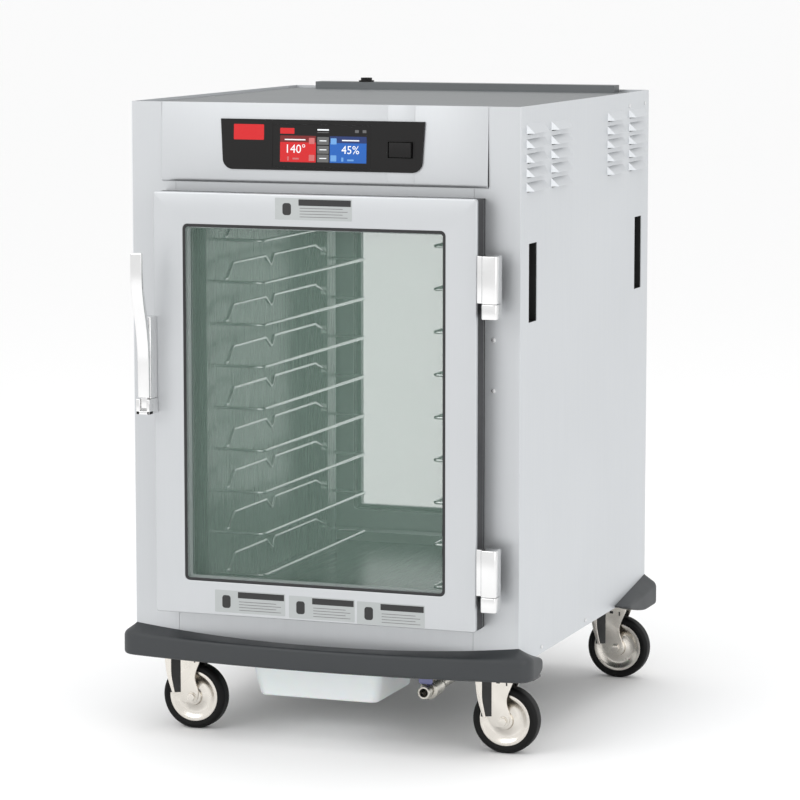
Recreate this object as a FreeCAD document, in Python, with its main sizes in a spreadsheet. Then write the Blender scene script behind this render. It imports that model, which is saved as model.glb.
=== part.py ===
"""Half-height mobile food holding cabinet, pass-through, with two glazed doors.

Frame: millimetres, +Z up, origin on the floor under the middle of the cabinet.
The front faces -Y, the hinge side of the front door is +X.
"""
import FreeCAD, Part
import Sketcher
import math
import os
import re
from FreeCAD import Rotation, Vector

# ---------------------------------------------------------------- sizes
SIZES = {
    # cabinet shell
    "width": 726, "depth": 785, "base_height": 167, "body_height": 970, "skin": 1.2,
    "post_face": 84, "post_return": 40, "post_upper_face": 58, "frame_sheet": 1.5,
    "header_height": 140, "header_lean": 5.5, "header_roll": 7, "top_recess": 5,
    "riser_length": 610, "riser_depth": 36, "riser_height": 9, "riser_inset": 4,
    "header_lip": 22,
    # holding cavity
    "cavity_width": 542, "cavity_floor": 236, "ceiling_drop": 162, "liner": 1,
    "sill_height": 89, "insulation_thick": 50,
    # doors
    "door_inset": 62, "door_head": 155, "door_bottom": 232, "door_stand": 52,
    "door_sheet": 1.5, "door_flange": 8, "gasket_thick": 8, "seal_gap": 0.3,
    "window_border": 56.5, "window_head": 56, "window_sill": 60,
    "glass_thick": 4, "glass_lap": 14, "gasket_width": 16, "gasket_inset": 2,
    # door hinges
    "hinge_offset": 26, "hinge_width": 28, "hinge_depth": 33, "hinge_knuckle": 82,
    "hinge_foot": 26, "hinge_drop": 96, "hinge_rise": 147, "hinge_pin": 5,
    "running_gap": 0.05, "part_gap": 0.5,
    # door handle
    "handle_width": 22, "handle_inset": 7, "handle_drop": 392, "handle_block": 27,
    "handle_housing": 172, "handle_depth": 30, "handle_reach": 67, "grip_thick": 8,
    "grip_height": 288, "lever_pin": 2.5,
    # pan slides
    "slide_pitch": 76.2, "first_slide": 275, "slide_wire": 6,
    "bar_spread": 328, "guide_spread": 472, "guide_rise": 32, "slide_front": 273,
    "slide_back": 253, "notch_depth": 20, "notch_place": 55,
    "upright_depth": 43, "upright_width": 44, "upright_sheet": 1.5, "front_upright_depth": 13,
    # controls
    "bezel_width": 380, "bezel_height": 88, "bezel_thick": 3, "bezel_drop": 28,
    "screen_width": 183, "screen_height": 75, "rocker_width": 46, "rocker_height": 28,
    "rocker_place": 146, "bezel_corner": 19, "bezel_draft": 4, "rocker_pin": 1.5, "rocker_drop": 5,
    "well_depth": 16, "well_wall": 2,
    "board_half": 115, "board_thick": 2, "chip_half": 11, "chip_height": 8,
    # sides
    "louver_length": 103, "louver_height": 16, "louver_stand": 11, "louver_pitch": 24.8,
    "louver_count": 5, "louver_top": 31, "louver_sheet": 1.2, "louver_inset": 30, "louver_gap": 37,
    "grip_slot_width": 44, "grip_slot_height": 137, "grip_slot_drop": 374,
    "grip_slot_depth": 32, "grip_slot_inset": 46, "cup_wall": 1.5,
    # bumpers
    "bumper_bottom": 141, "bumper_top": 181, "bumper_crown": 198, "bumper_reach": 53,
    "bumper_bow": 34, "bumper_side": 25, "bumper_front_wrap": 75, "bumper_rear_wrap": 205,
    "bumper_corner": 26,
    # casters
    "caster_inset": 66, "front_caster_inset": 57, "rear_caster_inset": 34,
    "wheel_radius": 60, "core_radius": 46, "tread_width": 32, "caster_trail": 26,
    "axle_radius": 6, "fork_gap": 5, "fork_sheet": 3.5, "kingpin": 6, "race_height": 12,
    "race_radius": 27, "axle_head": 9.5, "axle_head_length": 6, "brake_pin": 3, "brake_offset": 38,
    "brake_drop": 16, "bolt_radius": 5.5, "bolt_head": 4, "hub_radius": 15,
    "plate_length": 95, "plate_width": 68, "plate_thick": 4, "race_gap": 0.4,
    # base and drain
    "pan_length": 183, "pan_width": 228, "pan_depth": 65, "pan_bottom": 70, "pan_centre": -33,
    "pan_front": -342, "pan_draft": 13, "pan_wall": 2, "pan_flange": 9,
    "reservoir_width": 260, "reservoir_length": 150, "reservoir_depth": 50,
    "reservoir_centre": 120, "reservoir_place": -250, "valve_place": 180, "valve_height": 103,
    "valve_outlet": -372, "drain_bore": 8, "drain_pipe": 10.7, "valve_length": 60,
    "socket_length": 32, "flow_bore": 7, "valve_barrel": 17, "valve_nozzle": 11.5, "valve_hex": 14,
    "ball_radius": 12, "stem_radius": 4, "neck_radius": 8, "neck_height": 22, "lever_hub": 9,
    "drain_inset": 30, "tray_lap": 8, "heater_rod": 4,
    # air system
    "blower_radius": 58, "blower_height": 30, "blower_place": 40, "blade_count": 12,
    "duct_height": 44, "duct_half": 130, "duct_length": 210, "motor_radius": 34, "motor_height": 52,
    "motor_foot": 44, "shaft_radius": 4, "blade_length": 14, "outlet_slot": 16, "outlet_length": 180,
    # top gland and screws
    "gland_radius": 15, "gland_height": 8, "gland_bore": 5.5, "gland_place": -205,
    "screw_radius": 3.2, "screw_head": 2.2, "post_screw": 4, "lid_screw_inset": 14,
}

doc = FreeCAD.newDocument("HoldingCabinet")
sheet = doc.addObject("Spreadsheet::Sheet", "Size")
for row, (alias, value) in enumerate(SIZES.items(), start=1):
    sheet.set(f"A{row}", alias)
    sheet.set(f"B{row}", str(value))
    sheet.setAlias(f"B{row}", alias)
doc.recompute()


# ---------------------------------------------------------------- helpers
def bound(text):
    """The expression with each size name pointed at its cell in the sheet."""
    def cell(match):
        word = match.group(0)
        return "Size." + word if word in SIZES else word
    return re.sub(r"[a-z][a-z_]*", cell, str(text))


def number(text):
    """What an expression comes to now, as a plain number."""
    value = sheet.evalExpression(bound(text))
    return float(getattr(value, "Value", value))


def place(thing, x="0", y="0", z="0"):
    """Bind where a piece stands."""
    for axis, text in zip("xyz", (x, y, z)):
        thing.setExpression(f"Placement.Base.{axis}", bound(text))
    return thing


def box(name, x, y, z):
    """A block between a low and a high expression along each axis."""
    solid = doc.addObject("Part::Box", name)
    for size, (low, high) in zip(("Length", "Width", "Height"), (x, y, z)):
        solid.setExpression(size, bound(f"({high}) - ({low})"))
    return place(solid, x[0], y[0], z[0])


def rod(name, radius, along, centre, low, high):
    """A cylinder along x, y or z; centre gives its other two coordinates in order."""
    solid = doc.addObject("Part::Cylinder", name)
    solid.setExpression("Radius", bound(radius))
    solid.setExpression("Height", bound(f"({high}) - ({low})"))
    turn = {"x": Rotation(Vector(0, 1, 0), 90), "y": Rotation(Vector(1, 0, 0), -90), "z": Rotation()}
    solid.Placement = FreeCAD.Placement(Vector(), turn[along])
    spot = list(centre)
    spot.insert("xyz".index(along), low)
    return place(solid, *spot)


def cut(name, base, *tools):
    """The base less every tool."""
    result = doc.addObject("Part::Cut", name)
    result.Base = base
    result.Tool = tools[0] if len(tools) == 1 else group(name + "_tools", *tools)
    return result


def fuse(name, *shapes, refine=True):
    """One solid from several that touch or overlap."""
    result = doc.addObject("Part::MultiFuse", name)
    result.Shapes = list(shapes)
    result.Refine = refine
    return result


def common(name, *shapes):
    """What all the shapes share."""
    result = doc.addObject("Part::MultiCommon", name)
    result.Shapes = list(shapes)
    return result


def group(name, *shapes):
    """Separate solids kept as one piece's set."""
    result = doc.addObject("Part::Compound", name)
    result.Links = list(shapes)
    return result


def mirrored(name, source, normal):
    """The source seen in a plane through the origin."""
    result = doc.addObject("Part::Mirroring", name)
    result.Source = source
    result.Normal = normal
    return result


def pair(name, source, normal=Vector(1, 0, 0)):
    """The source and its mirror image as two solids."""
    return group(name, source, mirrored(name + "_other", source, normal))


def turned(name, source):
    """The source turned half a turn about the vertical through the origin."""
    across = mirrored(name + "_across", source, Vector(1, 0, 0))
    return mirrored(name, across, Vector(0, 1, 0))


def wedge(name, base, tip, stand, spot):
    """A block standing out along +X that narrows from base to tip (width, height), level below."""
    solid = doc.addObject("Part::Wedge", name)
    sizes = {"Xmin": f"-({base[0]}) / 2", "Xmax": f"({base[0]}) / 2", "Zmin": "0", "Zmax": base[1],
             "X2min": f"-({tip[0]}) / 2", "X2max": f"({tip[0]}) / 2", "Z2min": "0", "Z2max": tip[1],
             "Ymin": "0", "Ymax": stand}
    for size, text in sizes.items():
        solid.setExpression(size, bound(text))
    solid.Placement = FreeCAD.Placement(Vector(), Rotation(Vector(0, 0, 1), -90))
    return place(solid, *spot)


def body(name):
    return doc.addObject("PartDesign::Body", name)


def sketch(part, plane, offset="0"):
    """A sketch on one of the body's own planes, moved along that plane's normal."""
    result = part.newObject("Sketcher::SketchObject", part.Name + "_sketch")
    role = plane + "_Plane"
    face = [f for f in part.Origin.OriginFeatures if f.Role == role][0]
    result.AttachmentSupport = [(face, "")]
    result.MapMode = "FlatFace"
    result.setExpression("AttachmentOffset.Base.z", bound(offset))
    return result


def pin_point(drawing, line, end, x, y):
    """Tie one end of a line or arc to expressions measured from the sketch's origin."""
    for kind, text in (("DistanceX", x), ("DistanceY", y)):
        index = drawing.addConstraint(Sketcher.Constraint(kind, -1, 1, line, end, number(text)))
        drawing.setExpression(f"Constraints[{index}]", bound(text))


def outline(drawing, points):
    """A closed outline run anticlockwise; a third value on a point rounds the run after it."""
    count = len(points)
    spots = [Vector(number(p[0]), number(p[1]), 0) for p in points]
    lines = []
    for i, point in enumerate(points):
        start, end = spots[i], spots[(i + 1) % count]
        if len(point) == 2:
            lines.append(drawing.addGeometry(Part.LineSegment(start, end), False))
            continue
        radius = number(point[2])
        run = end - start
        rise = math.sqrt(max(radius ** 2 - (run.Length / 2) ** 2, 0))
        side = Vector(-run.y, run.x, 0).normalize()
        centre = (start + end) / 2 + side * rise
        angles = [math.atan2(p.y - centre.y, p.x - centre.x) for p in (start, end)]
        circle = Part.Circle(centre, Vector(0, 0, 1), radius)
        lines.append(drawing.addGeometry(Part.ArcOfCircle(circle, *angles), False))
        index = drawing.addConstraint(Sketcher.Constraint("Radius", lines[-1], radius))
        drawing.setExpression(f"Constraints[{index}]", bound(point[2]))
    for i, line in enumerate(lines):
        pin_point(drawing, line, 1, points[i][0], points[i][1])
        drawing.addConstraint(Sketcher.Constraint("Coincident", line, 2, lines[(i + 1) % count], 1))
    return drawing


def pad(part, drawing, length):
    feature = part.newObject("PartDesign::Pad", part.Name + "_pad")
    feature.Profile = drawing
    feature.setExpression("Length", bound(length))
    return feature


def revolve(part, drawing, axis="V_Axis"):
    feature = part.newObject("PartDesign::Revolution", part.Name + "_turn")
    feature.Profile = drawing
    feature.ReferenceAxis = (drawing, [axis])
    feature.Angle = 360
    return feature


def prism(name, plane, points, low, high):
    """A body of one outline; plane XY runs up z, YZ along x, XZ along y."""
    part = body(name)
    start = f"-({high})" if plane == "XZ" else low
    pad(part, outline(sketch(part, plane, start), points), f"({high}) - ({low})")
    return part


# ---------------------------------------------------------------- shared places
side = "(width / 2)"                                   # outer face of a side panel
inner_side = f"({side} - skin)"
face = "(depth / 2)"                                   # front frame's face, taken as positive
top = "(base_height + body_height)"
top_sheet = f"({top} - top_recess)"
wall = "(cavity_width / 2)"                            # cavity wall's inner face
ceiling = f"({top} - ceiling_drop)"
door_face = f"({face} + door_stand)"                   # front face of the closed front door
door_back = f"({face} + gasket_thick)"
door_side = f"({side} - door_inset)"
door_top = f"({top} - door_head)"
post_inner = f"({side} - post_face)"
header_bottom = f"({top} - header_height)"
header_half = f"({side} - post_upper_face)"
header_face = f"({face} + header_lean)"
sill_top = "(base_height + sill_height)"
lintel_bottom = f"({ceiling} - (({sill_top}) - cavity_floor))"
handle_bottom = f"({door_top} - handle_drop)"
slide_count = int((number(ceiling) - number("first_slide")) / number("slide_pitch"))
nodes = []


def node(name, thing):
    """Give a finished piece its name and put it on the list to write."""
    thing.Label = name
    nodes.append(thing)
    return thing


# ---------------------------------------------------------------- shell
def grip_slot(sign):
    """The hand-hold's span along the depth, at the front (-1) or the back (1)."""
    near = f"({face} - grip_slot_inset)"
    far = f"({near} - grip_slot_width)"
    return (f"-{near}", f"-{far}") if sign < 0 else (far, near)


grip_slot_span = (f"{top} - grip_slot_drop", f"{top} - grip_slot_drop + grip_slot_height")


def louver_spots():
    """Middle and lower edge of every louver: two banks at each end of the side."""
    outer = f"({face} - louver_inset - louver_length / 2)"
    inner = f"({outer} - louver_length - louver_gap)"
    for middle in (f"-{outer}", f"-{inner}", inner, outer):
        for row in range(int(number("louver_count"))):
            yield middle, f"({top} - louver_top - louver_height - {row} * louver_pitch)"


def side_panel():
    """Pressed sheet with four banks of louvers and two hand-hold slots."""
    blank = box("panel_blank", (inner_side, side), (f"-{face}", face), ("base_height", top))
    hollows = [box("panel_slot", (f"{inner_side} - 1", f"{side} + 1"), grip_slot(sign), grip_slot_span)
               for sign in (-1, 1)]
    hoods = []
    for middle, low in louver_spots():
        hoods.append(wedge("louver", ("louver_length", "louver_height"),
                           ("louver_length - 2 * louver_stand", "louver_sheet"), "louver_stand + skin / 2",
                           (f"{side} - skin / 2", middle, low)))
        hollows.append(wedge("louver_hollow", ("louver_length - 3 * louver_sheet", "louver_height"),
                             ("louver_length - 2 * louver_stand - 3 * louver_sheet", "louver_sheet"),
                             "louver_stand + skin / 2",
                             (f"{inner_side} - skin / 2", middle, f"{low} - 1.5 * louver_sheet")))
    return cut("panel", fuse("panel_with_hoods", blank, *hoods), *hollows)


right_panel = node("side_panel_right", side_panel())
node("side_panel_left", mirrored("left_panel", right_panel, Vector(1, 0, 0)))


def top_panel():
    """Recessed lid with the riser that closes the back of the control space."""
    long_lid = box("long_lid", (f"-{inner_side} + frame_sheet", f"{inner_side} - frame_sheet"),
                   (f"-{face} + frame_sheet", f"{face} - frame_sheet"), (f"{top_sheet} - skin", top_sheet))
    wide_lid = box("wide_lid", (f"-{inner_side}", inner_side),
                   (f"-{face} + post_return", f"{face} - post_return"), (f"{top_sheet} - skin", top_sheet))
    riser = box("riser", ("-riser_length / 2", "riser_length / 2"),
                (f"{riser_back} - riser_depth", riser_back), (top_sheet, f"{top} + riser_height"))
    hollow = box("riser_hollow", ("-riser_length / 2 + skin", "riser_length / 2 - skin"),
                 (f"{riser_back} - riser_depth + skin", f"{riser_back} - skin"),
                 (f"{top_sheet} - skin - 1", f"{top} + riser_height - skin"))
    bore = rod("gland_hole", "gland_bore + 3", "z", ("gland_place", f"{riser_back} - riser_depth / 2"),
               top_sheet, f"{top} + riser_height + 1")
    holes = [rod("lid_hole", "screw_radius", "z", spot, f"{top_sheet} - skin - 1", f"{top_sheet} + 1")
             for spot in lid_screw_spots()]
    return cut("lid_with_riser", fuse("lid_and_riser", long_lid, wide_lid, riser), hollow, bore, *holes)


riser_back = f"({face} - riser_inset)"


def lid_screw_spots():
    """The six flush screws near the lid's long edges."""
    for sign in (-1, 1):
        for y in (f"-{face} + 60", "-60", f"{face} - 110"):
            yield f"{sign} * ({inner_side} - lid_screw_inset)", y


node("top_panel", top_panel())


def frame_post():
    """Channel post: a wide face below the header, narrowed behind the header cover."""
    post = prism("post", "XY", [
        (post_inner, f"-{face}"), (inner_side, f"-{face}"),
        (inner_side, f"-{face} + post_return"), (f"{inner_side} - frame_sheet", f"-{face} + post_return"),
        (f"{inner_side} - frame_sheet", f"-{face} + frame_sheet"),
        (f"{post_inner} + frame_sheet", f"-{face} + frame_sheet"),
        (f"{post_inner} + frame_sheet", f"-{face} + post_return"),
        (post_inner, f"-{face} + post_return")], "base_height", top)
    notch = box("post_notch", (f"{post_inner} - 1", header_half),
                (f"-{face} - 1", f"-{face} + post_return + 1"), (header_bottom, f"{top} + 1"))
    return cut("notched_post", post, notch)


def frame_rail(name, low, high):
    """Channel rail between the posts, its face flush with theirs."""
    return prism(name, "YZ", [
        (f"-{face}", low), (f"-{face} + post_return", low),
        (f"-{face} + post_return", f"({low}) + frame_sheet"),
        (f"-{face} + frame_sheet", f"({low}) + frame_sheet"),
        (f"-{face} + frame_sheet", f"({high}) - frame_sheet"),
        (f"-{face} + post_return", f"({high}) - frame_sheet"),
        (f"-{face} + post_return", high), (f"-{face}", high)],
        f"-{post_inner} + part_gap", f"{post_inner} - part_gap")


front_frame = node("front_frame", group(
    "front_frame_set", pair("posts", frame_post()),
    frame_rail("sill", "base_height + skin", sill_top),
    frame_rail("lintel", lintel_bottom, header_bottom)))
node("rear_frame", turned("rear_frame_set", front_frame))


def header_cover():
    """Control fascia: leans out towards its lower edge and rolls under."""
    roll = f"(-{header_face} + header_roll)"
    return prism("header", "YZ", [
        (f"-{face} + riser_inset", f"{top} - frame_sheet"), (f"-{face} + riser_inset", top),
        (f"-{face}", top),
        (f"-{header_face}", f"{header_bottom} + header_roll"),
        (roll, header_bottom), (f"-{face} + header_lip", header_bottom),
        (f"-{face} + header_lip", f"{header_bottom} + frame_sheet"),
        (f"{roll} + 1", f"{header_bottom} + frame_sheet"),
        (f"-{header_face} + frame_sheet", f"{header_bottom} + header_roll + 1"),
        (f"-{face} + frame_sheet", f"{top} - frame_sheet")],
        f"-{header_half} + part_gap", f"{header_half} - part_gap")


header = header_cover()
rocker_x = ("rocker_place - rocker_width / 2", "rocker_place + rocker_width / 2")
bezel_top = f"({top} - bezel_drop)"
bezel_low = f"({bezel_top} - bezel_height)"
rocker_z = (f"{bezel_low} + bezel_height / 2 - rocker_height / 2 - rocker_drop",
            f"{bezel_low} + bezel_height / 2 + rocker_height / 2 - rocker_drop")
well_x = (f"{rocker_x[0]} - well_wall", f"{rocker_x[1]} + well_wall")
well_z = (f"{rocker_z[0]} - well_wall", f"{rocker_z[1]} + well_wall")
front_header = cut("front_header", header,
                   box("well_opening", well_x, (f"-{face} - 20", f"-{face} + 10"), well_z))
node("header_covers", group("header_set", front_header, turned("rear_header", header)))


# ---------------------------------------------------------------- cavity
def cavity_wall():
    """Side liner with flanges that meet the front and rear frames."""
    outside = f"({wall} + liner)"
    end = f"({face} - post_return)"
    return prism("wall_liner", "XY", [
        (wall, f"-{end}"), (f"{post_inner} + 12", f"-{end}"), (f"{post_inner} + 12", f"-{end} + liner"),
        (outside, f"-{end} + liner"), (outside, f"{end} - liner"), (f"{post_inner} + 12", f"{end} - liner"),
        (f"{post_inner} + 12", end), (wall, end)], "cavity_floor + liner", f"{ceiling} - liner")


node("liner_walls", pair("walls", cavity_wall()))

reservoir_x = ("reservoir_centre - reservoir_width / 2", "reservoir_centre + reservoir_width / 2")
reservoir_y = ("reservoir_place", "reservoir_place + reservoir_length")
liner_reach = f"({face} - post_return)"


def liner_floor():
    """Floor sheet with the opening over the water reservoir."""
    floor_sheet = box("floor_sheet", (f"-{wall} - liner", f"{wall} + liner"),
                      (f"-{liner_reach}", liner_reach), ("cavity_floor", "cavity_floor + liner"))
    hole = box("reservoir_hole", reservoir_x, reservoir_y, ("cavity_floor - 1", "cavity_floor + liner + 1"))
    return cut("floor_cut", floor_sheet, hole)


def liner_ceiling():
    """Ceiling sheet with the blower inlet in the middle and outlet slots at both sides."""
    roof = box("roof_sheet", (f"-{wall} - liner", f"{wall} + liner"),
               (f"-{liner_reach}", liner_reach), (f"{ceiling} - liner", ceiling))
    inlet = rod("inlet_hole", "blower_radius * 0.8", "z", ("0", "blower_place"), f"{ceiling} - 5",
                f"{ceiling} + 5")
    slots = [box("outlet_cut", (f"{sign} * (duct_half - 12) - outlet_slot / 2",
                                f"{sign} * (duct_half - 12) + outlet_slot / 2"),
                 ("blower_place - outlet_length / 2", "blower_place + outlet_length / 2"),
                 (f"{ceiling} - 5", f"{ceiling} + 5"))
             for sign in (-1, 1)]
    return cut("roof_cut", roof, inlet, *slots)


node("liner_floor", liner_floor())
node("liner_ceiling", liner_ceiling())

batt_end = f"({face} - post_return - 4)"
batt_x = (f"{wall} + liner", f"{wall} + liner + insulation_thick")
node("insulation", pair("batts", box("side_batt", batt_x, (f"-{batt_end}", batt_end),
                                     ("cavity_floor", ceiling))))


def upright(name, depth_out, front, slot_place):
    """Slotted channel on the wall, open towards the back, that carries the slides."""
    inner = f"({wall} - ({depth_out}))"
    back = f"(({front}) + upright_width)"
    channel = prism(name, "XY", [
        (inner, front), (f"{wall}", front), (f"{wall}", back),
        (f"{wall} - upright_sheet", back),
        (f"{wall} - upright_sheet", f"({front}) + upright_sheet"),
        (f"{inner} + upright_sheet", f"({front}) + upright_sheet"), (f"{inner} + upright_sheet", back),
        (inner, back)], "cavity_floor + liner + part_gap", f"{ceiling} - liner - part_gap")
    slots = [box(name + "_slot", (f"{inner} - 1", f"{inner} + upright_sheet + 1"),
                 (f"({slot_place}) - slide_wire / 2 - 0.6", f"({slot_place}) + slide_wire / 2 + 0.6"),
                 (f"{slide_level(row)} - slide_wire / 2", f"{slide_level(row)} + slide_wire / 2 + 2"))
             for row in range(slide_count)]
    slots += [box(name + "_guide_slot", ("guide_spread / 2 - slide_wire", "guide_spread / 2 + slide_wire"),
                  (f"({front}) - 1", f"({front}) + upright_sheet + 1"),
                  (f"{slide_level(row)} + slide_wire * 1.5", f"{slide_level(row)} + slide_wire * 4"))
              for row in range(slide_count)]
    return cut(name + "_slotted", channel, *slots)


def slide_level(row):
    """Middle height of one level's lower bars."""
    return f"(first_slide + {row} * slide_pitch)"


front_upright = upright("front_upright", "front_upright_depth", "-slide_front - upright_width + 8",
                        "-slide_front")
rear_upright = upright("rear_upright", "upright_depth", "slide_back + 6 - upright_width", "slide_back")
node("slide_uprights", group("uprights", pair("front_pair", front_upright),
                             pair("rear_pair", rear_upright)))


def bent_wire(name, corners, radius):
    """Round wire along straight runs joined by arcs, as one solid."""
    spots = [Vector(*(number(value) for value in corner)) for corner in corners]
    bend = number(radius)
    edges = []
    start = spots[0]
    for before, corner, after in zip(spots, spots[1:], spots[2:]):
        back = (before - corner).normalize()
        ahead = (after - corner).normalize()
        half_turn = (math.pi - back.getAngle(ahead)) / 2
        reach = bend * math.tan(half_turn)
        middle = (back + ahead).normalize() * (bend / math.cos(half_turn) - bend)
        edges.append(Part.LineSegment(start, corner + back * reach).toShape())
        edges.append(Part.Arc(corner + back * reach, corner + middle, corner + ahead * reach).toShape())
        start = corner + ahead * reach
    edges.append(Part.LineSegment(start, spots[-1]).toShape())
    path = Part.Wire(edges)
    along = (spots[1] - spots[0]).normalize()
    ring = Part.Wire(Part.makeCircle(number("slide_wire") / 2, spots[0], along))
    solid = doc.addObject("Part::Feature", name)
    solid.Shape = path.makePipeShell([ring], True, False, 2)
    return solid


def slide(row):
    """One level's left slide: a lower frame that carries the pan and a raised guide beside it."""
    level = slide_level(row)
    seat = "(slide_wire / 2)"
    bar = "(-bar_spread / 2)"
    guide = "(-guide_spread / 2)"
    raised = f"({level} + guide_rise)"
    lower = bent_wire(f"bar_{row}", [
        (f"-{wall} + 3", "-slide_front", level), (bar, "-slide_front", level),
        (bar, "slide_back", level), (f"-{wall} + 3", "slide_back", level)], "slide_wire * 1.5")
    over = f"({level} + slide_wire)"
    upper = bent_wire(f"guide_{row}", [
        (guide, f"-slide_front - {seat}", over), (guide, "-slide_front + 8", over),
        (guide, "-slide_front + 34", raised),
        (guide, "-notch_place - notch_depth * 1.5", raised),
        (guide, "-notch_place", f"{raised} - notch_depth"),
        (guide, "-notch_place + notch_depth * 0.6", raised),
        (guide, "slide_back - 86", raised), (guide, "slide_back - 8", over),
        (guide, f"slide_back + {seat}", over)], "slide_wire")
    return lower, upper


left_slides = group("left_slide_wires", *[wire for row in range(slide_count)
                                          for wire in slide(row)])
node("pan_slides", pair("slide_wires", left_slides))


def grip_cup():
    """Moulded recess behind one hand-hold slot."""
    span_y = grip_slot(-1)
    outer = box("cup_outer", (f"{inner_side} - grip_slot_depth", inner_side),
                (f"{span_y[0]} - cup_wall", f"{span_y[1]} + cup_wall"),
                (f"{grip_slot_span[0]} - cup_wall", f"{grip_slot_span[1]} + cup_wall"))
    hollow = box("cup_hollow", (f"{inner_side} - grip_slot_depth + cup_wall", f"{inner_side} + 1"),
                 span_y, grip_slot_span)
    return cut("cup", outer, hollow)


cups = pair("cup_pair", grip_cup())
node("grip_cups", pair("cup_pairs", cups, Vector(0, 1, 0)))


# ---------------------------------------------------------------- doors
def frame_ring(name, half, low, high, border, y):
    """A flat rectangular ring in the door's plane."""
    outer = box(name + "_outer", (f"-({half})", half), y, (low, high))
    hole = box(name + "_hole", (f"-({half}) + {border}", f"({half}) - {border}"),
               (f"({y[0]}) - 1", f"({y[1]}) + 1"), (f"({low}) + {border}", f"({high}) - {border}"))
    return cut(name, outer, hole)


window_half = f"({door_side} - window_border)"
window_low = "(door_bottom + window_sill)"
window_high = f"({door_top} - window_head)"
core_front = f"(-{door_face} + door_sheet)"
core_back = f"(-{door_back} - door_sheet)"
pane_half = f"({window_half} + glass_lap)"
pane_z = (f"{window_low} - glass_lap", f"{window_high} + glass_lap")
outer_pane = (core_front, f"{core_front} + glass_thick")
inner_pane = (f"{core_back} - glass_thick", core_back)


def window_hole(name):
    return box(name, (f"-{window_half}", window_half), (f"-{door_face} - 5", f"-{face}"),
               (window_low, window_high))


def door_frame():
    """Front pan of the door with a turned edge, and the inner sheet behind the core."""
    shell = box("door_pan", (f"-{door_side}", door_side), (f"-{door_face}", f"-{door_face} + door_flange"),
                ("door_bottom", door_top))
    hollow = box("door_pan_hollow", (f"-{door_side} + door_sheet", f"{door_side} - door_sheet"),
                 (core_front, f"-{door_face} + door_flange + 1"),
                 ("door_bottom + door_sheet", f"{door_top} - door_sheet"))
    inner_sheet = box("door_inner_sheet", (f"-{door_side} + door_sheet", f"{door_side} - door_sheet"),
                      (core_back, f"-{door_back}"),
                      ("door_bottom + door_sheet", f"{door_top} - door_sheet"))
    return group("door_frame_set", cut("door_pan_cut", shell, hollow, window_hole("pan_window")),
                 cut("inner_sheet_cut", inner_sheet, window_hole("sheet_window")))


def door_core():
    """Thermal-break frame that holds both panes."""
    block = box("core_block", (f"-{door_side} + door_sheet", f"{door_side} - door_sheet"),
                (core_front, core_back), ("door_bottom + door_sheet", f"{door_top} - door_sheet"))
    rebates = [box("pane_rebate", (f"-{pane_half}", pane_half), span, pane_z)
               for span in (outer_pane, inner_pane)]
    return cut("core", block, window_hole("core_window"), *rebates)


def door_glass():
    """Outer and inner tempered panes."""
    return group("panes", *[box("pane", (f"-{pane_half}", pane_half), span, pane_z)
                            for span in (outer_pane, inner_pane)])


def door_gasket():
    """Soft ring round the back of the door that meets the cabinet's frame."""
    return frame_ring("gasket", f"{door_side} - gasket_inset", "door_bottom + gasket_inset",
                      f"{door_top} - gasket_inset", "gasket_width", (f"-{door_back}", f"-{face} - seal_gap"))


hinge_x = f"({door_side} + hinge_offset)"
hinge_y = f"(-{face} - door_stand + 4)"
knuckle_x = (f"{hinge_x} - hinge_width / 2", f"{hinge_x} + hinge_width / 2")
knuckle_y = (f"{hinge_y} - hinge_depth / 2", f"{hinge_y} + hinge_depth / 2")
hinge_tops = (f"({door_top} - hinge_drop)", "(door_bottom + hinge_rise)")


def hinge_moving(level):
    """Door half of a hinge: a leaf on the door's edge and the long knuckle."""
    low = f"({level} - hinge_knuckle)"
    knuckle = box("knuckle", knuckle_x, knuckle_y, (low, level))
    bore = rod("knuckle_bore", "hinge_pin + running_gap", "z", (hinge_x, hinge_y), f"{low} - 1",
               f"{level} - 5")
    leaf = box("leaf", (door_side, f"{knuckle_x[0]} + 1"), (f"-{door_face} + 1", f"-{door_face} + 7"),
               (low, level))
    return cut("moving_hinge", fuse("knuckle_leaf", knuckle, leaf), bore)


def hinge_fixed(level):
    """Cabinet half of a hinge: foot, bracket and the pin that stands in it."""
    high = f"({level} - hinge_knuckle - part_gap)"
    low = f"({high} - hinge_foot)"
    foot = box("hinge_foot_block", knuckle_x, knuckle_y, (low, high))
    bracket = box("hinge_bracket", (knuckle_x[0], f"{knuckle_x[0]} + 12"), (f"{hinge_y} + 5", f"-{face}"),
                  (low, high))
    bore = rod("pin_seat", "hinge_pin", "z", (hinge_x, hinge_y), f"{low} + 4", f"{high} + 1")
    pin = rod("hinge_pin_rod", "hinge_pin", "z", (hinge_x, hinge_y), f"{low} + 4", f"{level} - 6")
    return cut("fixed_hinge", fuse("foot_bracket", foot, bracket), bore), pin


handle_x = (f"-{door_side} + handle_inset - handle_width", f"-{door_side} + handle_inset")
handle_front = f"(-{door_face} - handle_depth)"
block_top = f"({handle_bottom} + handle_block)"
pin_y = f"({handle_front} - grip_thick / 2 + 1)"
pin_z = f"({block_top} - 11)"
tongue_x = (f"{handle_x[0]} + 5", f"{handle_x[1]} - 5")


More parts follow.
